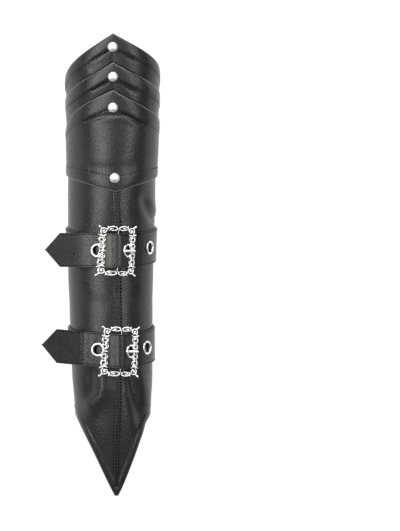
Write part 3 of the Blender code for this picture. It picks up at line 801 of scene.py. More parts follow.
def plate_piece(name, node, y, lift):
    """A plate's closed wall as a piece, with a painted highlight along its two edges."""
    def wear_and_highlight(wall_y):
        top = bell(wall_y - y[0] - PLATE_WALL / 2, EDGE_HIGHLIGHT_WIDTH)
        return top + bell(wall_y - y[-1] + PLATE_WALL / 2, EDGE_HIGHLIGHT_WIDTH)

    wall_piece(name, node, plate_angles, y, lift, PLATE_WALL, wear_and_highlight)


for name, node, edge_row, next_row, stitch in (
    ("top_lame", "cuff_lame_top", TOP_EDGE, MIDDLE_EDGE, TOP_STITCH),
    ("middle_lame", "cuff_lame_middle", MIDDLE_EDGE, PANEL_EDGE, MIDDLE_STITCH),
):
    top = edge_height(edge_row, plate_angles)
    foot = edge_height(next_row, plate_angles)
    below, width = hem_rows(top, stitch)
    share = np.linspace(0, 1, LAME_ROWS)[1:, None]
    dip_top = np.minimum(top - below[-1] - 0.3, foot + DIP_ABOVE)
    dip_foot = foot - DIP_UNDER
    y = np.concatenate([
        top - below,
        (top - below[-1]) * (1 - share) + dip_top * share,
        dip_top * (1 - share) + dip_foot * share,
        dip_foot * (1 - LAST_ROWS) + (foot - TUCK) * LAST_ROWS,
    ])
    sinks_from = top - below[SINK_ROW]
    level = PLATE_LEVEL * (1 - ease((sinks_from - y) / (sinks_from - foot - 1)) * flat_side)
    level -= LAME_DIP * np.exp(-np.maximum(y - foot, 0) / LAME_DIP_REACH)
    lift = plate_relief(y, level, LAME_FOLDS) + plate_hem(top, top - y, width)
    lift = np.where(y < foot + 0.5, np.minimum(lift, -LAME_DIP), lift)
    plate_piece(name, node, y, lift)

# %% [markdown]
# The last plate is the longest: hemmed above along its peak and below along a V, with one soft
# crease where it bends under the third rivet.

# %% Cuff panel
PANEL_LEVEL = 1.55
PANEL_ROWS = 62

upper = edge_height(PANEL_EDGE, plate_angles)
lower = edge_height(PANEL_FOOT, plate_angles)
below, upper_width = hem_rows(upper, PANEL_STITCH)
above, lower_width = hem_rows(lower, FOOT_STITCH)
rest = np.linspace(0, 1, PANEL_ROWS)[1:-1, None]
y = np.concatenate([
    upper - below,
    (upper - below[-1]) * (1 - rest) + (lower + above[-1]) * rest,
    (lower + above)[::-1],
])
lift = plate_relief(y, np.full(y.shape, PANEL_LEVEL), PANEL_FOLDS)
lift += plate_hem(upper, upper - y, upper_width)
lift += plate_hem(lower, y - lower, lower_width)
plate_piece("cuff_panel_leather", "cuff_panel", y, lift)

# %% [markdown]
# The stitching is black thread, about three millimetres to a stitch. Each stitch is a small spindle
# laid along its line, with its ends down in the leather. One spindle is worked out, and a
# whole line of copies is placed at once, each turned to the line and to the surface there.

# %% Stitches
STITCH_PITCH = 2.9
STITCH_LENGTH = 1.6
THREAD_RADIUS = 0.52
THREAD_TWIST_MM = 0.3
STITCH_BOW = 0.25
STITCH_AHEAD = 0.5
SEAM_RUN = (70, -188, 600)
HEM_THREAD_DEPTH, SEAM_THREAD_DEPTH, HAND_THREAD_DEPTH, BELT_THREAD_DEPTH = 0.15, 0.05, 0.25, 0.12
SPINDLE_RINGS = np.array((0.12, 0.5, 0.88))
SPINDLE_SIDES = 6


def spindle():
    """A spindle along X with a point at each end: its radius is the square root of the sine
    along it, and it bows down at both ends."""
    turn = np.arange(SPINDLE_SIDES) * 2 * np.pi / SPINDLE_SIDES
    along, turn = np.meshgrid(SPINDLE_RINGS, turn, indexing="ij")
    radius = THREAD_RADIUS * np.sqrt(np.sin(np.pi * along))
    x = (along - 0.5) * STITCH_LENGTH
    z = radius * np.sin(turn) - STITCH_BOW * (2 * along - 1) ** 2
    ends = np.array(((-0.5, 0, 0), (0.5, 0, 0))) * STITCH_LENGTH - (0, 0, STITCH_BOW)
    return capped_rings(np.stack([x, radius * np.cos(turn), z], axis=-1), ends)


def run_length(path):
    """The distance along a path at each of its points."""
    return np.concatenate([[0], np.cumsum(np.linalg.norm(np.diff(path, axis=0), axis=1))])


def rows_at(at, length, rows):
    """The rows of an array that belong to some distances along a path."""
    return np.stack([np.interp(at, length, column) for column in rows.T], axis=-1)


def stitch_piece(name, slot, lines):
    """The stitches along some lines as one piece; a line is its points and its way out."""
    ring, corners = spindle()
    all_points, all_faces, count = [], [], 0
    for path, out in lines:
        length = run_length(path)
        at = np.arange(STITCH_PITCH / 2, length[-1], STITCH_PITCH)
        ahead, back = (rows_at(at + step, length, path) for step in (STITCH_AHEAD, -STITCH_AHEAD))
        along = unit(ahead - back)
        side = unit(np.cross(rows_at(at, length, out), along))
        normal = np.cross(along, side)
        stitches = (
            rows_at(at, length, path)[:, None]
            + ring[None, :, :1] * along[:, None]
            + ring[None, :, 1:2] * side[:, None]
            + ring[None, :, 2:] * normal[:, None]
        )
        stitches[..., 2] = np.maximum(stitches[..., 2], 0)
        numbers = np.arange(len(at))[:, None, None] * len(ring) + count
        all_points.append(stitches.reshape(-1, 3))
        all_faces.append((corners[None] + numbers).reshape(-1, 3))
        count += len(at) * len(ring)
    mesh = make_mesh(name, np.concatenate(all_points), np.concatenate(all_faces))
    add_piece(mesh, thread, slot)
    print(name, "are", count // len(ring))


def surface_line(y, angle, lift):
    """A line on the arm at a height over it, and the way out of the leather along it."""
    turned = leather_angle(y, angle)
    here = arm_point(y, turned, lift)
    return here, arm_point(y, turned, np.asarray(lift) + 1) - here


thread, tree, place = new_finish("bonded_black_thread")
twist = add_node(tree, "TexNoise", {"Vector": place, "Scale": 1 / (THREAD_TWIST_MM * MM)})
shade(tree, {
    "Base Color": linear("#040404"), "Roughness": 0.85, "Specular IOR Level": 0.03,
    "Normal": add_node(tree, "Bump", {"Height": twist, "Strength": 0.6, "Distance": 0.1 * MM}),
})

turns = np.linspace(-180, 180, 721)
hem_lines = []
for edge_row, stitch, sign, level in (
    (TOP_EDGE, TOP_STITCH, -1, PLATE_LEVEL),
    (MIDDLE_EDGE, MIDDLE_STITCH, -1, PLATE_LEVEL),
    (PANEL_EDGE, PANEL_STITCH, -1, PANEL_LEVEL),
    (PANEL_FOOT, FOOT_STITCH, 1, PANEL_LEVEL),
):
    line_y = edge_height(edge_row, turns) + sign * stitch_offset(stitch, turns)
    line_y += sign * PLATE_WALL / 2
    hem_lines.append(surface_line(line_y, turns, level - HEM_THREAD_DEPTH))
stitch_piece("cuff_stitches", "black_leather", hem_lines)

# %% [markdown]
# The sleeve's seam carries two rows, one each side of its welt, and its V hem one row.

# %% Sleeve stitches
hand_line = hand_edge_on_leather(turns)
hand_line += HEM_WIDTH / edge_lean(hand_line, turns, PLATE_RADIUS)
seam_y = np.linspace(*SEAM_RUN)
seam_angle = np.degrees(np.arcsin(SEAM_STITCH / station_middle(seam_y)[1]))
seam_lines = [surface_line(seam_y, side * seam_angle, -SEAM_THREAD_DEPTH) for side in (-1, 1)]
seam_lines.append(surface_line(hand_line, turns, -HAND_THREAD_DEPTH))
stitch_piece("sleeve_stitches", "black_leather", seam_lines)

# %% [markdown]
# Each strap is one long belt. One end is turned back round the buckle's centre bar; from there
# the belt runs left round the sleeve, comes up on the right, passes over the bar through the
# frame and ends in a free tail with a point. The route is a short list of places, given as a
# distance across from the bar and a height over the sleeve, and a smooth curve joins them.

# %% Route of a strap
# Each strap: x and y of its centre bar, rise to the back, x of its tip, rise of its tail
STRAPS = {
    "upper": (4.9, 12, 5.6, -57.4, 0.9),
    "lower": (7.3, -75.3, 7.2, -60.3, 5.6),
}
GAP = 0.3
STRAP_WALL = 1.7
STRAP_WIDTH = 29.6
BAR_RADIUS = 1.1
BAR_HEIGHT = 3.4
DEGREES_ACROSS = 1.6
ANCHOR_RETURN = ((-5, 2), (-2.5, 2))
ANCHOR_DOWN = ((-2, 4.45), (-4, 3.35), (-6, 2), (-8, 1.05), (-10.5, GAP))
BAND_OVER = (
    (18, GAP), (14.6, GAP), (12.4, 0.75), (9.6, 2.3), (6.6, 4), (3.6, 5.7), (1.8, 6.75),
    (0.9, 7.15), (-0.9, 7.25), (-2.4, 7), (-3.6, 6.45), (-5.4, 5.35), (-8.2, 3.8), (-10.8, 2.4),
    (-14.8, 2.55), (-18.5, 2.9), (-23, 4.3),
)
WRAP_LEFT = (-16, -25, -34, -44, -54, -63, -72, -81, -90)
WRAP_RIGHT = (90, 81, 72, 63, 54, 44, 36)
CORNER_TURNS = (103.5, 117, 130.5, 144, 162)
TAIL_POINT = 16.5
TAIL_SLOPE = 0.76
TAIL_START = 0.25
TAIL_REACH = TAIL_POINT * math.cos(math.atan(TAIL_SLOPE))
TAIL_BEND = 14
ROUTE_STEP = 1.1


def bar_axes(bar_x, y):
    """Under the bar: a point of the sleeve, the way across it and the way out of it."""
    angle = front_angle(bar_x, y)
    foot = arm_point(y, angle)
    out = arm_point(y, angle, 1) - foot
    across = np.stack([out[..., 2], np.zeros_like(out[..., 1]), -out[..., 0]], axis=-1)
    return foot, across, out


def over_sleeve(bar_x, strap_y, u, height, y):
    """A point at u across from the bar and a height over the sleeve's own section at y."""
    _, across, out = bar_axes(bar_x, strap_y)
    foot, _, _ = bar_axes(bar_x, y)
    section = arm_point(y, np.linspace(-85, 85, 171)) - foot
    v = np.interp(u, section @ across, section @ out) + height
    return foot + u * across + v * out


def strap_edge(bar_x, strap_y, strap_rise, tail_x, tail_rise, side):
    """The route of the belt's inner face along one edge, side being -1 or 1."""
    shift = side * STRAP_WIDTH / 2
    slope = tail_rise / (bar_x - tail_x)
    _, across, out = bar_axes(bar_x, strap_y)
    foot = bar_axes(bar_x, strap_y + shift)[0]
    reach = BAR_RADIUS + GAP

    def wrapped(angle):
        return strap_y + strap_rise * (1 - math.cos(math.radians(angle))) + shift

    route = [over_sleeve(bar_x, strap_y, u, v, strap_y + shift) for u, v in ANCHOR_RETURN]
    for turn in np.radians((-90, -45, 0, 45, 90)):
        route.append(
            foot + reach * np.cos(turn) * across + (BAR_HEIGHT + reach * np.sin(turn)) * out
        )
    for u, v in ANCHOR_DOWN:
        route.append(over_sleeve(bar_x, strap_y, u, v, wrapped(u * DEGREES_ACROSS)))
    under = tuple(-a for a in CORNER_TURNS) + (180,) + CORNER_TURNS[::-1]
    for angle in WRAP_LEFT + under + WRAP_RIGHT:
        route.append(arm_point(wrapped(angle), angle, GAP))
    for u, v in BAND_OVER:
        y = wrapped(u * DEGREES_ACROSS) if u > 0 else strap_y + slope * -u + shift
        route.append(over_sleeve(bar_x, strap_y, u, v, y))
    x0, y0, z0 = route[-1]
    for x in (*(x0 - TAIL_BEND * np.array((0.33, 0.67, 1))), tail_x + TAIL_REACH, tail_x):
        bent = min(x0 - x, TAIL_BEND)
        fall = TAIL_START * bent + (TAIL_SLOPE - TAIL_START) * bent**2 / (2 * TAIL_BEND)
        fall += TAIL_SLOPE * (x0 - x - bent)
        route.append(np.array((x, y0 + slope * (x0 - x), z0 - fall)))
    return np.array(route)


def smooth_route(knots, at):
    """A cubic through the knots, each slope that of the line between its two neighbours."""
    slope = np.gradient(knots, axis=0)
    i = np.clip(at.astype(int), 0, len(knots) - 2)
    start, stop, leave, arrive = cubic_shares((at - i)[:, None])
    return knots[i] * start + knots[i + 1] * stop + slope[i] * leave + slope[i + 1] * arrive


def strap_route(name):
    """Middle line, half width and outward way of a belt, in even steps along it."""
    right, left = (strap_edge(*STRAPS[name], side) for side in (1, -1))
    fine = np.linspace(0, len(right) - 1, 4000)
    length = run_length(smooth_route((right + left) / 2, fine))
    steps = int(length[-1] / ROUTE_STEP)
    at = np.interp(np.linspace(0, length[-1], steps), length, fine)
    middle = smooth_route((right + left) / 2, at)
    half = smooth_route((right - left) / 2, at)
    return middle, unit(half), unit(np.cross(half, np.gradient(middle, axis=0)))


print("upper belt is", round(len(strap_route("upper")[0]) * ROUTE_STEP), "mm long")

# %% [markdown]
# The belt's section is a flat bar of leather with its corners rubbed round. A sunk line for
# the stitches runs near each edge, and the table presses the back flat. The section is carried
# along the route, narrowing to the point at the tail. Both tails are creased across where the
# belt has been bent, and the bends carry a painted highlight, pale grey where they catch the light.

# %% Belts
STRAP_STITCH = 1.3
STRAP_CORNER = 0.45
BELT_DOME = 0.12
BELT_SHARES = np.linspace(-1, 1, 15)
BELT_EDGE = np.array((0, 0.2, 0.4, 0.58, 0.72, 0.85, 0.98, 1.12, 1.3, 1.6, 2.2, 3.6))
# By strap, each crease: x of its middle, width and height
CREASES = {
    "upper": ((-33.5, 2.5, 0.25),),
    "lower": ((-20.9, 0.8, -0.35), (-22.6, 1.2, 0.2), (-26.5, 4, 0.2), (-34, 3.5, -0.2)),
}
# By strap, each stretch of painted highlight: from and to, across from the bar, and its share
BELT_HIGHLIGHTS = {
    "upper": ((-12.5, -4, 0.38), (-0.6, 3.4, 0.1), (-70, -19, 0.04)),
    "lower": ((-12.5, -5.2, 0.1),),
}
HIGHLIGHT_SOFT = 0.4
TIP_SHARE = 0.03
TAIL_FROM = 0.8
OUTER_RUN_FROM = 0.62


def last_stretch(middle, share):
    """True for the steps of a route past a share of it."""
    return np.arange(len(middle)) > len(middle) * share


def belt_width_along(name, middle):
    """Half the belt's width at each step: full, then straight down to the tip of the tail."""
    narrow = np.clip((middle[:, 0] - STRAPS[name][3]) / TAIL_REACH, TIP_SHARE, 1)
    return STRAP_WIDTH / 2 * np.where(last_stretch(middle, TAIL_FROM), narrow, 1)


def belt_section(width):
    """Across and height of the closed section, for each half width of an array."""
    width = width[:, None]
    corner = width - STRAP_CORNER
    right = width - np.minimum(width * 0.98, STRAP_CORNER + BELT_EDGE)
    flat = BELT_SHARES[None, 1:-1] * np.maximum(right[:, -1:], 0)
    top = np.concatenate([-right, flat, right[:, ::-1]], axis=1)
    sunk = STITCH_SINK * bell(width - np.abs(top) - STRAP_STITCH, 0.35)
    dome = BELT_DOME * (1 - (top / (STRAP_WIDTH / 2)) ** 2)
    turn = np.radians(np.array((22.5, 45, 67.5)))[None]
    upper = corner + STRAP_CORNER * np.cos(np.pi / 2 - turn)
    lower = corner + STRAP_CORNER * np.cos(turn)
    # Adding nothing times a row gives the heights one row for each width too
    upper_high = STRAP_WALL - STRAP_CORNER + STRAP_CORNER * np.sin(np.pi / 2 - turn) + 0 * upper
    lower_high = STRAP_CORNER - STRAP_CORNER * np.sin(turn) + 0 * lower
    under = -BELT_SHARES[None] * corner
    across = [top, upper, np.minimum(lower, width), under, -lower[:, ::-1], -upper[:, ::-1]]
    high = [STRAP_WALL + dome - sunk, upper_high, lower_high, 0 * under, lower_high[:, ::-1],
            upper_high[:, ::-1]]
    return np.concatenate(across, axis=1), np.concatenate(high, axis=1)


def crease_height(name, middle):
    """Bell curves across the belt, by x of its middle, on the free tail only."""
    height = sum(rise * bell(middle[:, 0] - x, width) for x, width, rise in CREASES[name])
    return height * last_stretch(middle, TAIL_FROM)


def belt_highlight_share(name, middle):
    """Share of painted highlight along the belt's outer run: even on each stretch, with soft ends."""
    across = middle[:, 0] - STRAPS[name][0]
    share = sum(
        rise / (1 + np.exp((start - across) / HIGHLIGHT_SOFT))
        / (1 + np.exp((across - stop) / HIGHLIGHT_SOFT))
        for start, stop, rise in BELT_HIGHLIGHTS[name]
    )
    return share * last_stretch(middle, OUTER_RUN_FROM)


def belt_mesh(name):
    """The section carried along the route, kept above the table and closed at both ends."""
    middle, half, out = strap_route(name)
    across, high = belt_section(belt_width_along(name, middle))
    high = high + crease_height(name, middle)[:, None]
    rings = middle[:, None] + across[..., None] * half[:, None] + high[..., None] * out[:, None]
    rings[..., 2] = np.maximum(rings[..., 2], 0)
    points, faces = capped_rings(rings, rings[[0, -1]].mean(axis=1))
    # Each point of the section carries its share of painted highlight
    wear_and_highlight = np.repeat(belt_highlight_share(name, middle), across.shape[1])
    return make_mesh(name + "_belt", points, faces, np.append(wear_and_highlight, (0, 0)))


belts = {}
for name in STRAPS:
    belts[name] = add_piece(belt_mesh(name), strap_leather, "strap_leather", name + "_strap")
    print(name, "belt:", len(belts[name].data.polygons), "faces")

# %% [markdown]
# The metal is zinc, cast or turned, with a bright nickel plate. Nickel is a little warm, and
# polished plate mirrors the soft boxes in clean white. Its crevices are painted a dark dull
# colour as shade, where less light would reach. The sharpness of the surface at each point tells
# crevice from crest.

# %% Nickel finish
CREVICE_SPAN = (0.44, 0.50)
HAZE_MM = 1.1
HAZE_SPAN = (0.3, 0.7)
HAZE_SPREAD = 0.10
POLISH_DENT_MM = 0.05
PLATE_COLOUR = "#eeedec"


def nickel_finish(name, crevice_shade, rough):
    """Bright nickel whose hollows, by the mesh's pointiness, take a painted shade: a dark dull colour.
    """
    made, tree, place = new_finish(name)
    shape = add_node(tree, "NewGeometry").outputs["Pointiness"]
    raised = add_node(
        tree, "MapRange", {"Value": shape, "From Min": CREVICE_SPAN[0], "From Max": CREVICE_SPAN[1]},
        interpolation_type="SMOOTHSTEP",
    )
    colour = add_node(
        tree, "Mix", {MIX_SHARE: raised, MIX_FROM: linear(crevice_shade), MIX_TO: linear(PLATE_COLOUR)},
        data_type="RGBA",
    )
    haze = add_node(tree, "TexNoise", {"Vector": place, "Scale": 1 / (HAZE_MM * MM), "Detail": 2})
    gloss = add_node(
        tree, "MapRange",
        {"Value": haze, "From Min": HAZE_SPAN[0], "From Max": HAZE_SPAN[1],
         "To Min": rough, "To Max": rough + HAZE_SPREAD},
    )
    bump = add_node(
        tree, "Bump", {"Height": haze, "Strength": 0.5, "Distance": POLISH_DENT_MM * MM}
    )
    shade(tree, {
        "Base Color": colour.outputs[MIX_RESULT], "Roughness": gloss, "Normal": bump, "Metallic": 1,
    })
    return made


# The second value is the painted shade in each finish's hollows
cast_nickel = nickel_finish("nickel_plated_casting", "#33312f", 0.22)
turned_nickel = nickel_finish("polished_nickel", "#8a8986", 0.12)
rivet_nickel = nickel_finish("brushed_nickel", "#8a8986", 0.3)
print("metal finishes:", cast_nickel.name, turned_nickel.name, rivet_nickel.name)

# %% [markdown]
# Two kinds of shape make all the metal. A turned shape is a profile of radius and height
# spun round its axis. A tube is a circle carried along a path, with round ends. Both are
# worked out in a small part's own axes, and its place on the arm turns them into position.

# %% Turned shapes, tubes and places
WELD_MM = 0.002


def turned_shape(profile, sides=48, closed=False):
    """A profile of (radius, height) rows spun round Z; closed joins its last row to its first."""
    profile = np.asarray(profile, dtype=float)
    turn = np.arange(sides) * 2 * np.pi / sides
    points = np.stack([
        profile[:, :1] * np.cos(turn), profile[:, :1] * np.sin(turn),
        np.repeat(profile[:, 1:], sides, axis=1),
    ], axis=-1)
    faces = grid_faces(len(profile), sides, close_columns=True, close_rows=closed)
    points = points.reshape(-1, 3)
    return points, outward(points, faces)


def tube(path, radius, up=(0, 0, 1), sides=12):
    """A circle carried along a path that never runs straight up. Each end is closed with a
    quarter round."""
    path = np.asarray(path, dtype=float)
    radius = np.broadcast_to(np.asarray(radius, dtype=float), len(path))
    ahead = unit(np.gradient(path, axis=0))
    cap = np.radians(np.array((90, 60, 30)))
    start = path[0] - radius[0] * np.sin(cap)[:, None] * ahead[0]
    stop = path[-1] + radius[-1] * np.sin(cap[::-1])[:, None] * ahead[-1]
    middle = np.concatenate([start, path, stop])
    size = np.concatenate([radius[0] * np.cos(cap), radius, radius[-1] * np.cos(cap[::-1])])
    ahead = np.concatenate([np.repeat(ahead[:1], 3, axis=0), ahead, np.repeat(ahead[-1:], 3, axis=0)])
    side = unit(np.cross(np.asarray(up, dtype=float), ahead))
    over = np.cross(ahead, side)
    turn = np.arange(sides)[None, :, None] * 2 * np.pi / sides
    ring = np.cos(turn) * side[:, None] + np.sin(turn) * over[:, None]
    points = (middle[:, None] + size[:, None, None] * ring).reshape(-1, 3)
    return points, outward(points, grid_faces(len(middle), sides, close_columns=True))


def joined(shapes):
    """Several shapes of points and faces as one."""
    count = np.cumsum([0] + [len(points) for points, _ in shapes])
    faces = [faces + shift for (_, faces), shift in zip(shapes, count)]
    return np.concatenate([points for points, _ in shapes]), np.concatenate(faces)


def placed(points, place):
    """Points in a part's own axes, moved to its place: an origin and three directions."""
    origin, across, along, out = place
    return origin + points[:, :1] * across + points[:, 1:2] * along + points[:, 2:] * out


def welded(mesh):
    """The same mesh with the doubled points at its poles made one."""
    shape = bmesh.new()
    shape.from_mesh(mesh)
    bmesh.ops.remove_doubles(shape, verts=shape.verts, dist=WELD_MM * MM)
    shape.to_mesh(mesh)
    shape.free()
    mesh.shade_smooth()
    return mesh


def worked_in(piece):
    """The piece's mesh with its modifiers worked in, which it now keeps."""
    ready = piece.evaluated_get(bpy.context.evaluated_depsgraph_get())
    piece.data = bpy.data.meshes.new_from_object(ready)
    piece.modifiers.clear()
    return piece.data


def front_place(x, y, lift):
    """The place of a small part on the front: along the arm, and out of the leather."""
    angle = front_angle(x, y)
    here = arm_point(y, angle, lift)
    along = unit(arm_point(y + 2, angle, lift) - here)
    out = arm_point(y, angle, lift + 1) - here
    across = unit(np.cross(along, out))
    return here, across, along, np.cross(across, along)


dome = turned_shape([(0, 1), (1, 0)], sides=8)
print("a cone of 8 sides has", len(dome[1]), "faces")

# %% [markdown]
# The rivets are caps with a round dome, pressed on over a post until their rims bite into the
# leather. The profile is a flattened half circle, turned in and closed a little way below the
# surface.

# %% Rivets
RIVETS = {
    "rivet_top": (1, 188.3, 1.4),
    "rivet_middle": (1.2, 162.6, 1.4),
    "rivet_lower": (1.2, 135.9, 1.7),
    "rivet_panel": (2.5, 74.9, 1.7),
}
RIVET_RADIUS = 4.55
RIVET_HEIGHT = 3
RIVET_SEAT = 0.4
RIVET_RIM = 0.9

turn = np.radians(np.linspace(90, 0, 15))
cap = np.stack([RIVET_RADIUS * np.cos(turn), RIVET_HEIGHT * np.sin(turn)], axis=-1)
rim = [(RIVET_RADIUS - 0.15, -0.4), (RIVET_RADIUS - 0.5, -RIVET_RIM), (0, -RIVET_RIM)]
points, faces = turned_shape(np.concatenate([cap, rim]))
for name, (x, y, lift) in RIVETS.items():
    place = front_place(x, y, lift + RIVET_SEAT)
    mesh = welded(make_mesh(name + "_cap", placed(points, place), faces))
    add_piece(mesh, rivet_nickel, "nickel", name)
print("rivets:", len(RIVETS))

# %% [markdown]
# An eyelet is a short barrel through the belt whose rim is rolled out over the leather. Its
# place is found on the belt's own route, and the hole that it lines is cut with a cylinder.

# %% Eyelets
EYELETS = {
    "upper_eyelet_1": -11.9, "upper_eyelet_2": 13, "upper_eyelet_3": 31.5,
    "lower_eyelet_1": -11.6, "lower_eyelet_2": 15.2, "lower_eyelet_3": 32.3,
}
EYELET_PROFILE = (
    (5.8, 0), (6, 0.25), (5.95, 0.5), (5.65, 0.8), (5.2, 0.92), (4.7, 0.85), (4.35, 0.6),
    (4.15, 0.2), (4.05, -0.3), (4, -2.7), (4.25, -2.7), (4.3, 0),
)
HOLE_RADIUS = 4.35
HOLE_DEPTH = 10
SLOT_RADIUS = 3.55
SLOT_WIDTH = 3.4
BUCKLE_HALF = 19.2
SHARP_FROM = 50


def eyelet_place(strap, x):
    """The place of an eyelet on the outermost run of a belt, where its middle crosses x."""
    middle, _, out = strap_route(strap)
    run = last_stretch(middle, OUTER_RUN_FROM)
    middle, out = middle[run], out[run]
    at = np.interp(-x, -middle[:, 0], np.arange(len(middle)))
    k = int(at)
    here = middle[k] + (middle[k + 1] - middle[k]) * (at - k)
    normal = unit(out[max(k - 1, 0) : k + 3].mean(axis=0))
    across = unit(np.cross((0, 1, 0), normal))
    return here + normal * STRAP_WALL, across, np.cross(normal, across), normal


def drum(radius, height, place, sides=32):
    """A cylinder with its axis along the place's way out."""
    half = height / 2
    points, faces = turned_shape([(0, half), (radius, half), (radius, -half), (0, -half)], sides)
    points = placed(points, place)
    return points, outward(points, faces)


def bar_place(strap, height):
    """The buckle's place: across the bar, along it and out, over the sleeve under the bar."""
    bar_x, strap_y = STRAPS[strap][:2]
    low, high = (bar_axes(bar_x, strap_y + side * BUCKLE_HALF)[0] for side in (-1, 1))
    across = bar_axes(bar_x, strap_y)[1]
    along = unit(high - low)
    out = unit(np.cross(across, along))
    return (low + high) / 2 + out * height, np.cross(along, out), along, out


holes = {name: [] for name in STRAPS}
ring = turned_shape(EYELET_PROFILE, closed=True)
for name, x in EYELETS.items():
    strap = name.split("_")[0]
    place = eyelet_place(strap, x)
    mesh = make_mesh(name + "_ring", placed(ring[0], place), ring[1])
    add_piece(mesh, turned_nickel, "nickel", name)
    holes[strap].append(drum(HOLE_RADIUS, HOLE_DEPTH, place))
for strap, belt in belts.items():
    origin, across, along, out = bar_place(strap, BAR_HEIGHT)
    holes[strap].append(drum(SLOT_RADIUS, SLOT_WIDTH, (origin, across, out, along)))
    for points, faces in holes[strap]:
        cutter = new_object("cutter", welded(make_mesh("cutter", points, faces)))
        cut = belt.modifiers.new("hole", "BOOLEAN")
        cut.object = cutter
        cut.operation = "DIFFERENCE"
        cut.solver = "EXACT"
        pierced = worked_in(belt)
        bpy.data.objects.remove(cutter)
    pierced.shade_smooth()
    pierced.set_sharp_from_angle(angle=math.radians(SHARP_FROM))
    print(strap, "belt pierced:", len(pierced.polygons), "faces")

# %% [markdown]
# The buckles are castings of baroque scrollwork. One corner is designed once: a volute with a
# spur that ends in a ball, half of the leafy top bar, a collar across the side bar and two of
# its curls, with a thin wavy edge behind them that ties them together. Mirrored left to right
# and top to bottom, four corners make the frame.

# %% Scrollwork of one corner
VOLUTE = (12.6, 17.2)
VOLUTE_RADII = (3.2, 0.6)
VOLUTE_LINE = (0.6, 0.5)
VOLUTE_START, VOLUTE_TURNS, VOLUTE_RISE, VOLUTE_STEPS = -50, 1.4, 0.4, 60
SPUR_TIP = (17, 21.2)
VOLUTE_BALL, SPUR_BALL = 0.75, 1
SCROLL_HEIGHT = 1.5
CURLS = (9.9, 4.4)
CURL_X = 14.5
CURL_RADII = (2.15, 1.25)
CURL_LINE = (0.45, 0.36)
CURL_START, CURL_TURNS, CURL_RISE, CURL_STEPS = 110, 1.1, 0.25, 44
LEAF = (
    (9.6, 19), (8.4, 20.3), (6.4, 21), (4, 21), (1.9, 20.5), (1.05, 19.5), (1.6, 18.3),
    (3.6, 17.7), (6, 18), (7, 18.8), (6.2, 19.5), (4.4, 19.3),
)
LEAF_VEIN = ((9.2, 18.6), (7.6, 17.9), (5, 17.3), (2.4, 17.4), (0, 17.9))
OUTER_EDGE = (
    (15.2, 13.3), (16.2, 11.6), (16.6, 9.9), (15.9, 7.9), (15.4, 7), (16.2, 5.4), (16.6, 4.2),
    (16, 2.2), (15.2, 0),
)
SPUR = ((14.6, 19.4), (15.7, 20.3), SPUR_TIP)
STEM = ((9.4, 18.2), (9, 19.6), (9.4, 21))
COLLAR = ((10.6, 14), (12.4, 13.1), (14.8, 13.2), (17.2, 14.2))
# Each stroke: its knots, its steps, its radii and its height
STROKES = (
    (SPUR, 10, (0.85, 0.6), SCROLL_HEIGHT),
    (LEAF, 60, (0.6, 0.7, 0.7, 0.6, 0.5, 0.4), SCROLL_HEIGHT),
    (LEAF_VEIN, 24, (0.36,), 0.9),
    (STEM, 10, (0.4, 0.5, 0.6), SCROLL_HEIGHT),
    (COLLAR, 20, (0.4, 0.75, 0.75, 0.4), SCROLL_HEIGHT),
    (OUTER_EDGE, 50, (0.34,), 1),
)
# A curl's hook, counted from the middle of the curl, and the spur in the middle of each side
HOOK = ((-0.9, 2.6), (-2.3, 2.2), (-3.3, 0.9), (-3.2, -0.8), (-2.1, -1.9), (-0.7, -2.9))
HOOK_RADII = (0.34, 0.4, 0.36, 0.34)
MIDDLE_SPUR = ((14.4, 0), (12.4, 0), (10.4, 0))


def spiral(centre, radii, start, turns, steps, rise=0):
    """A spiral whose radius falls evenly from its first value to its last."""
    t = np.linspace(0, 1, steps)
    radius = radii[0] + (radii[1] - radii[0]) * t
    angle = np.radians(start + 360 * turns * t)
    height = SCROLL_HEIGHT + rise * t
    return np.column_stack([
        centre[0] + radius * np.cos(angle), centre[1] + radius * np.sin(angle), height
    ])


def ball(centre, radius, height=SCROLL_HEIGHT):
    """A small ball, as a turned half circle."""
    turn = np.radians(np.linspace(90, -90, 9))
    points, faces = turned_shape(np.stack([radius * np.cos(turn), radius * np.sin(turn)], axis=-1), 14)
    return points + (centre[0], centre[1], height), faces


def stroke(knots, steps, sizes, height=SCROLL_HEIGHT):
    """A tube on a smooth curve through flat knots, at one height. Its radius goes through a few
    sizes evenly along it."""
    at = np.linspace(0, 1, steps)
    flat = smooth_route(np.asarray(knots, dtype=float), np.linspace(0, len(knots) - 1, steps))
    radius = np.interp(at, np.linspace(0, 1, len(sizes)), sizes)
    return tube(np.column_stack([flat, np.full(steps, height)]), radius)


def corner_scrolls():
    """The tubes and balls of the corner at +X +Y."""
    volute = spiral(VOLUTE, VOLUTE_RADII, VOLUTE_START, VOLUTE_TURNS, VOLUTE_STEPS, VOLUTE_RISE)
    shapes = [
        tube(volute, np.linspace(*VOLUTE_LINE, VOLUTE_STEPS)),
        ball(VOLUTE, VOLUTE_BALL, SCROLL_HEIGHT + VOLUTE_RISE), ball(SPUR_TIP, SPUR_BALL),
        *(stroke(*row) for row in STROKES),
    ]
    for y in CURLS:
        bow = spiral((CURL_X, y), CURL_RADII, CURL_START, CURL_TURNS, CURL_STEPS, CURL_RISE)
        shapes.append(tube(bow, np.linspace(*CURL_LINE, CURL_STEPS)))
        shapes.append(stroke(np.add(HOOK, (CURL_X, y)), 24, HOOK_RADII))
    return shapes


def mirrored(shapes, x, y):
    """The same shapes in another corner; a mirror turns faces inside out, so they are turned."""
    flip = np.array((x, y, 1))
    return [(points * flip, outward(points * flip, faces)) for points, faces in shapes]


corner = corner_scrolls()
print("one corner:", len(corner), "shapes")

# %% [markdown]
# The four corners, the inward spurs and the centre bar are melted into one body by a
# voxel remesh. That also rounds the joins between them as molten metal would.

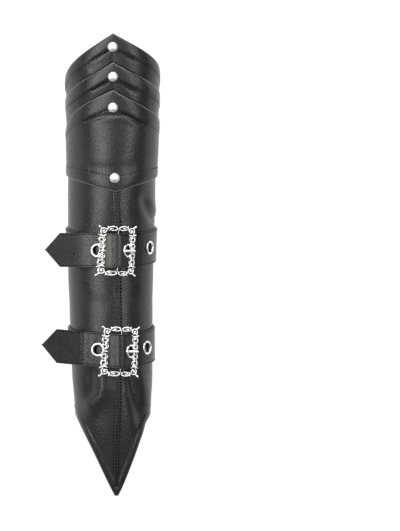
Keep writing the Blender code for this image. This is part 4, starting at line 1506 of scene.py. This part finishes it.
# %% Buckles
BUCKLE_UNDER = 3
BUCKLE_TURN = -1.8
BAR_NECK = 0.28
LEFT_LEAN = 0.65
RIGHT_SHARE = 0.885
VOXEL = 0.16
HALF_ACROSS, HALF_ALONG = 13.7, 17
BAR_END, BAR_THICK_TO, BAR_STEPS = 19, 14.5, 39


def buckle_shapes():
    """Four corners, two spurs and the bar, leant a little and narrowed on the right."""
    shapes = [shape for x in (1, -1) for y in (1, -1) for shape in mirrored(corner, x, y)]
    for side in (1, -1):
        shapes.append(stroke(np.multiply(MIDDLE_SPUR, (side, 1)), 10, (0.5, 0.75, 0.3)))
    along = np.linspace(-BAR_END, BAR_END, BAR_STEPS)
    bar = np.column_stack([0 * along, along, np.full(BAR_STEPS, BAR_HEIGHT - BUCKLE_UNDER)])
    shapes.append(tube(bar, np.where(np.abs(along) < BAR_THICK_TO, BAR_RADIUS, BAR_NECK)))
    points, faces = joined(shapes)
    x, y = points[:, 0], points[:, 1]
    leant = x + LEFT_LEAN * (1 - y / HALF_ALONG) * x / HALF_ACROSS
    points[:, 0] = np.where(x > 0, x * RIGHT_SHARE, leant)
    return points, faces


def melted(piece):
    """The piece's shapes fused into one skin of even small faces."""
    fuse = piece.modifiers.new("fuse", "REMESH")
    fuse.mode = "VOXEL"
    fuse.voxel_size = VOXEL * MM
    fuse.use_smooth_shade = True
    return worked_in(piece)


turn = math.radians(BUCKLE_TURN)
spin = np.array((
    (math.cos(turn), math.sin(turn), 0), (-math.sin(turn), math.cos(turn), 0), (0, 0, 1),
))
points, faces = buckle_shapes()
for name in STRAPS:
    shape = placed(points @ spin, bar_place(name, BUCKLE_UNDER))
    mesh = make_mesh(name + "_buckle_frame", shape, faces)
    mesh = melted(add_piece(mesh, cast_nickel, "nickel", name + "_buckle"))
    print(name, "buckle:", len(mesh.polygons), "faces")

# %% [markdown]
# The prong is a bent wire with a round end. It hooks round the centre bar, rises through the
# eyelet and lies across the frame.

# %% Prongs
PRONG_RADIUS = 1.2
PRONG_HOOK = (70, 110, 150, 190, 230, 270)
PRONG_PATH = ((3.4, 1.5), (4.6, 2.4), (5.4, 3.9), (6.2, 5.4), (7.6, 6.4), (10, 6.7), (13.9, 6.7))

around = BAR_RADIUS + GAP + PRONG_RADIUS
hook = [
    (around * math.cos(math.radians(a)), BAR_HEIGHT + around * math.sin(math.radians(a)))
    for a in PRONG_HOOK
]
knots = np.array([(u, 0, v) for u, v in hook + list(PRONG_PATH)])
wire = smooth_route(knots, np.linspace(0, len(knots) - 1, 90))
points, faces = tube(wire, PRONG_RADIUS, up=(0, 1, 0), sides=20)
for name in STRAPS:
    shape = placed(points, bar_place(name, 0))
    mesh = welded(make_mesh(name + "_prong_wire", shape, faces))
    add_piece(mesh, turned_nickel, "nickel", name + "_prong")
print("prongs:", len(STRAPS))

# %% [markdown]
# The belts are stitched along both edges and round the point of the tail.

# %% Belt stitches
TIP_LEAN = 0.66


def belt_line(name, side):
    """The stitch line near one edge of a belt's outer face, and the way out along it."""
    middle, half, out = strap_route(name)
    width = belt_width_along(name, middle)
    inset = np.where(width < STRAP_WIDTH / 2 - 0.01, STRAP_STITCH / TIP_LEAN, STRAP_STITCH)
    keep = width > inset + 0.4
    lift = STRAP_WALL - BELT_THREAD_DEPTH + crease_height(name, middle)
    line = middle + side * (width - inset)[:, None] * half + lift[:, None] * out
    return line[keep], out[keep]


for name in STRAPS:
    stitch_piece(name + "_belt_stitches", "strap_leather", [belt_line(name, -1), belt_line(name, 1)])
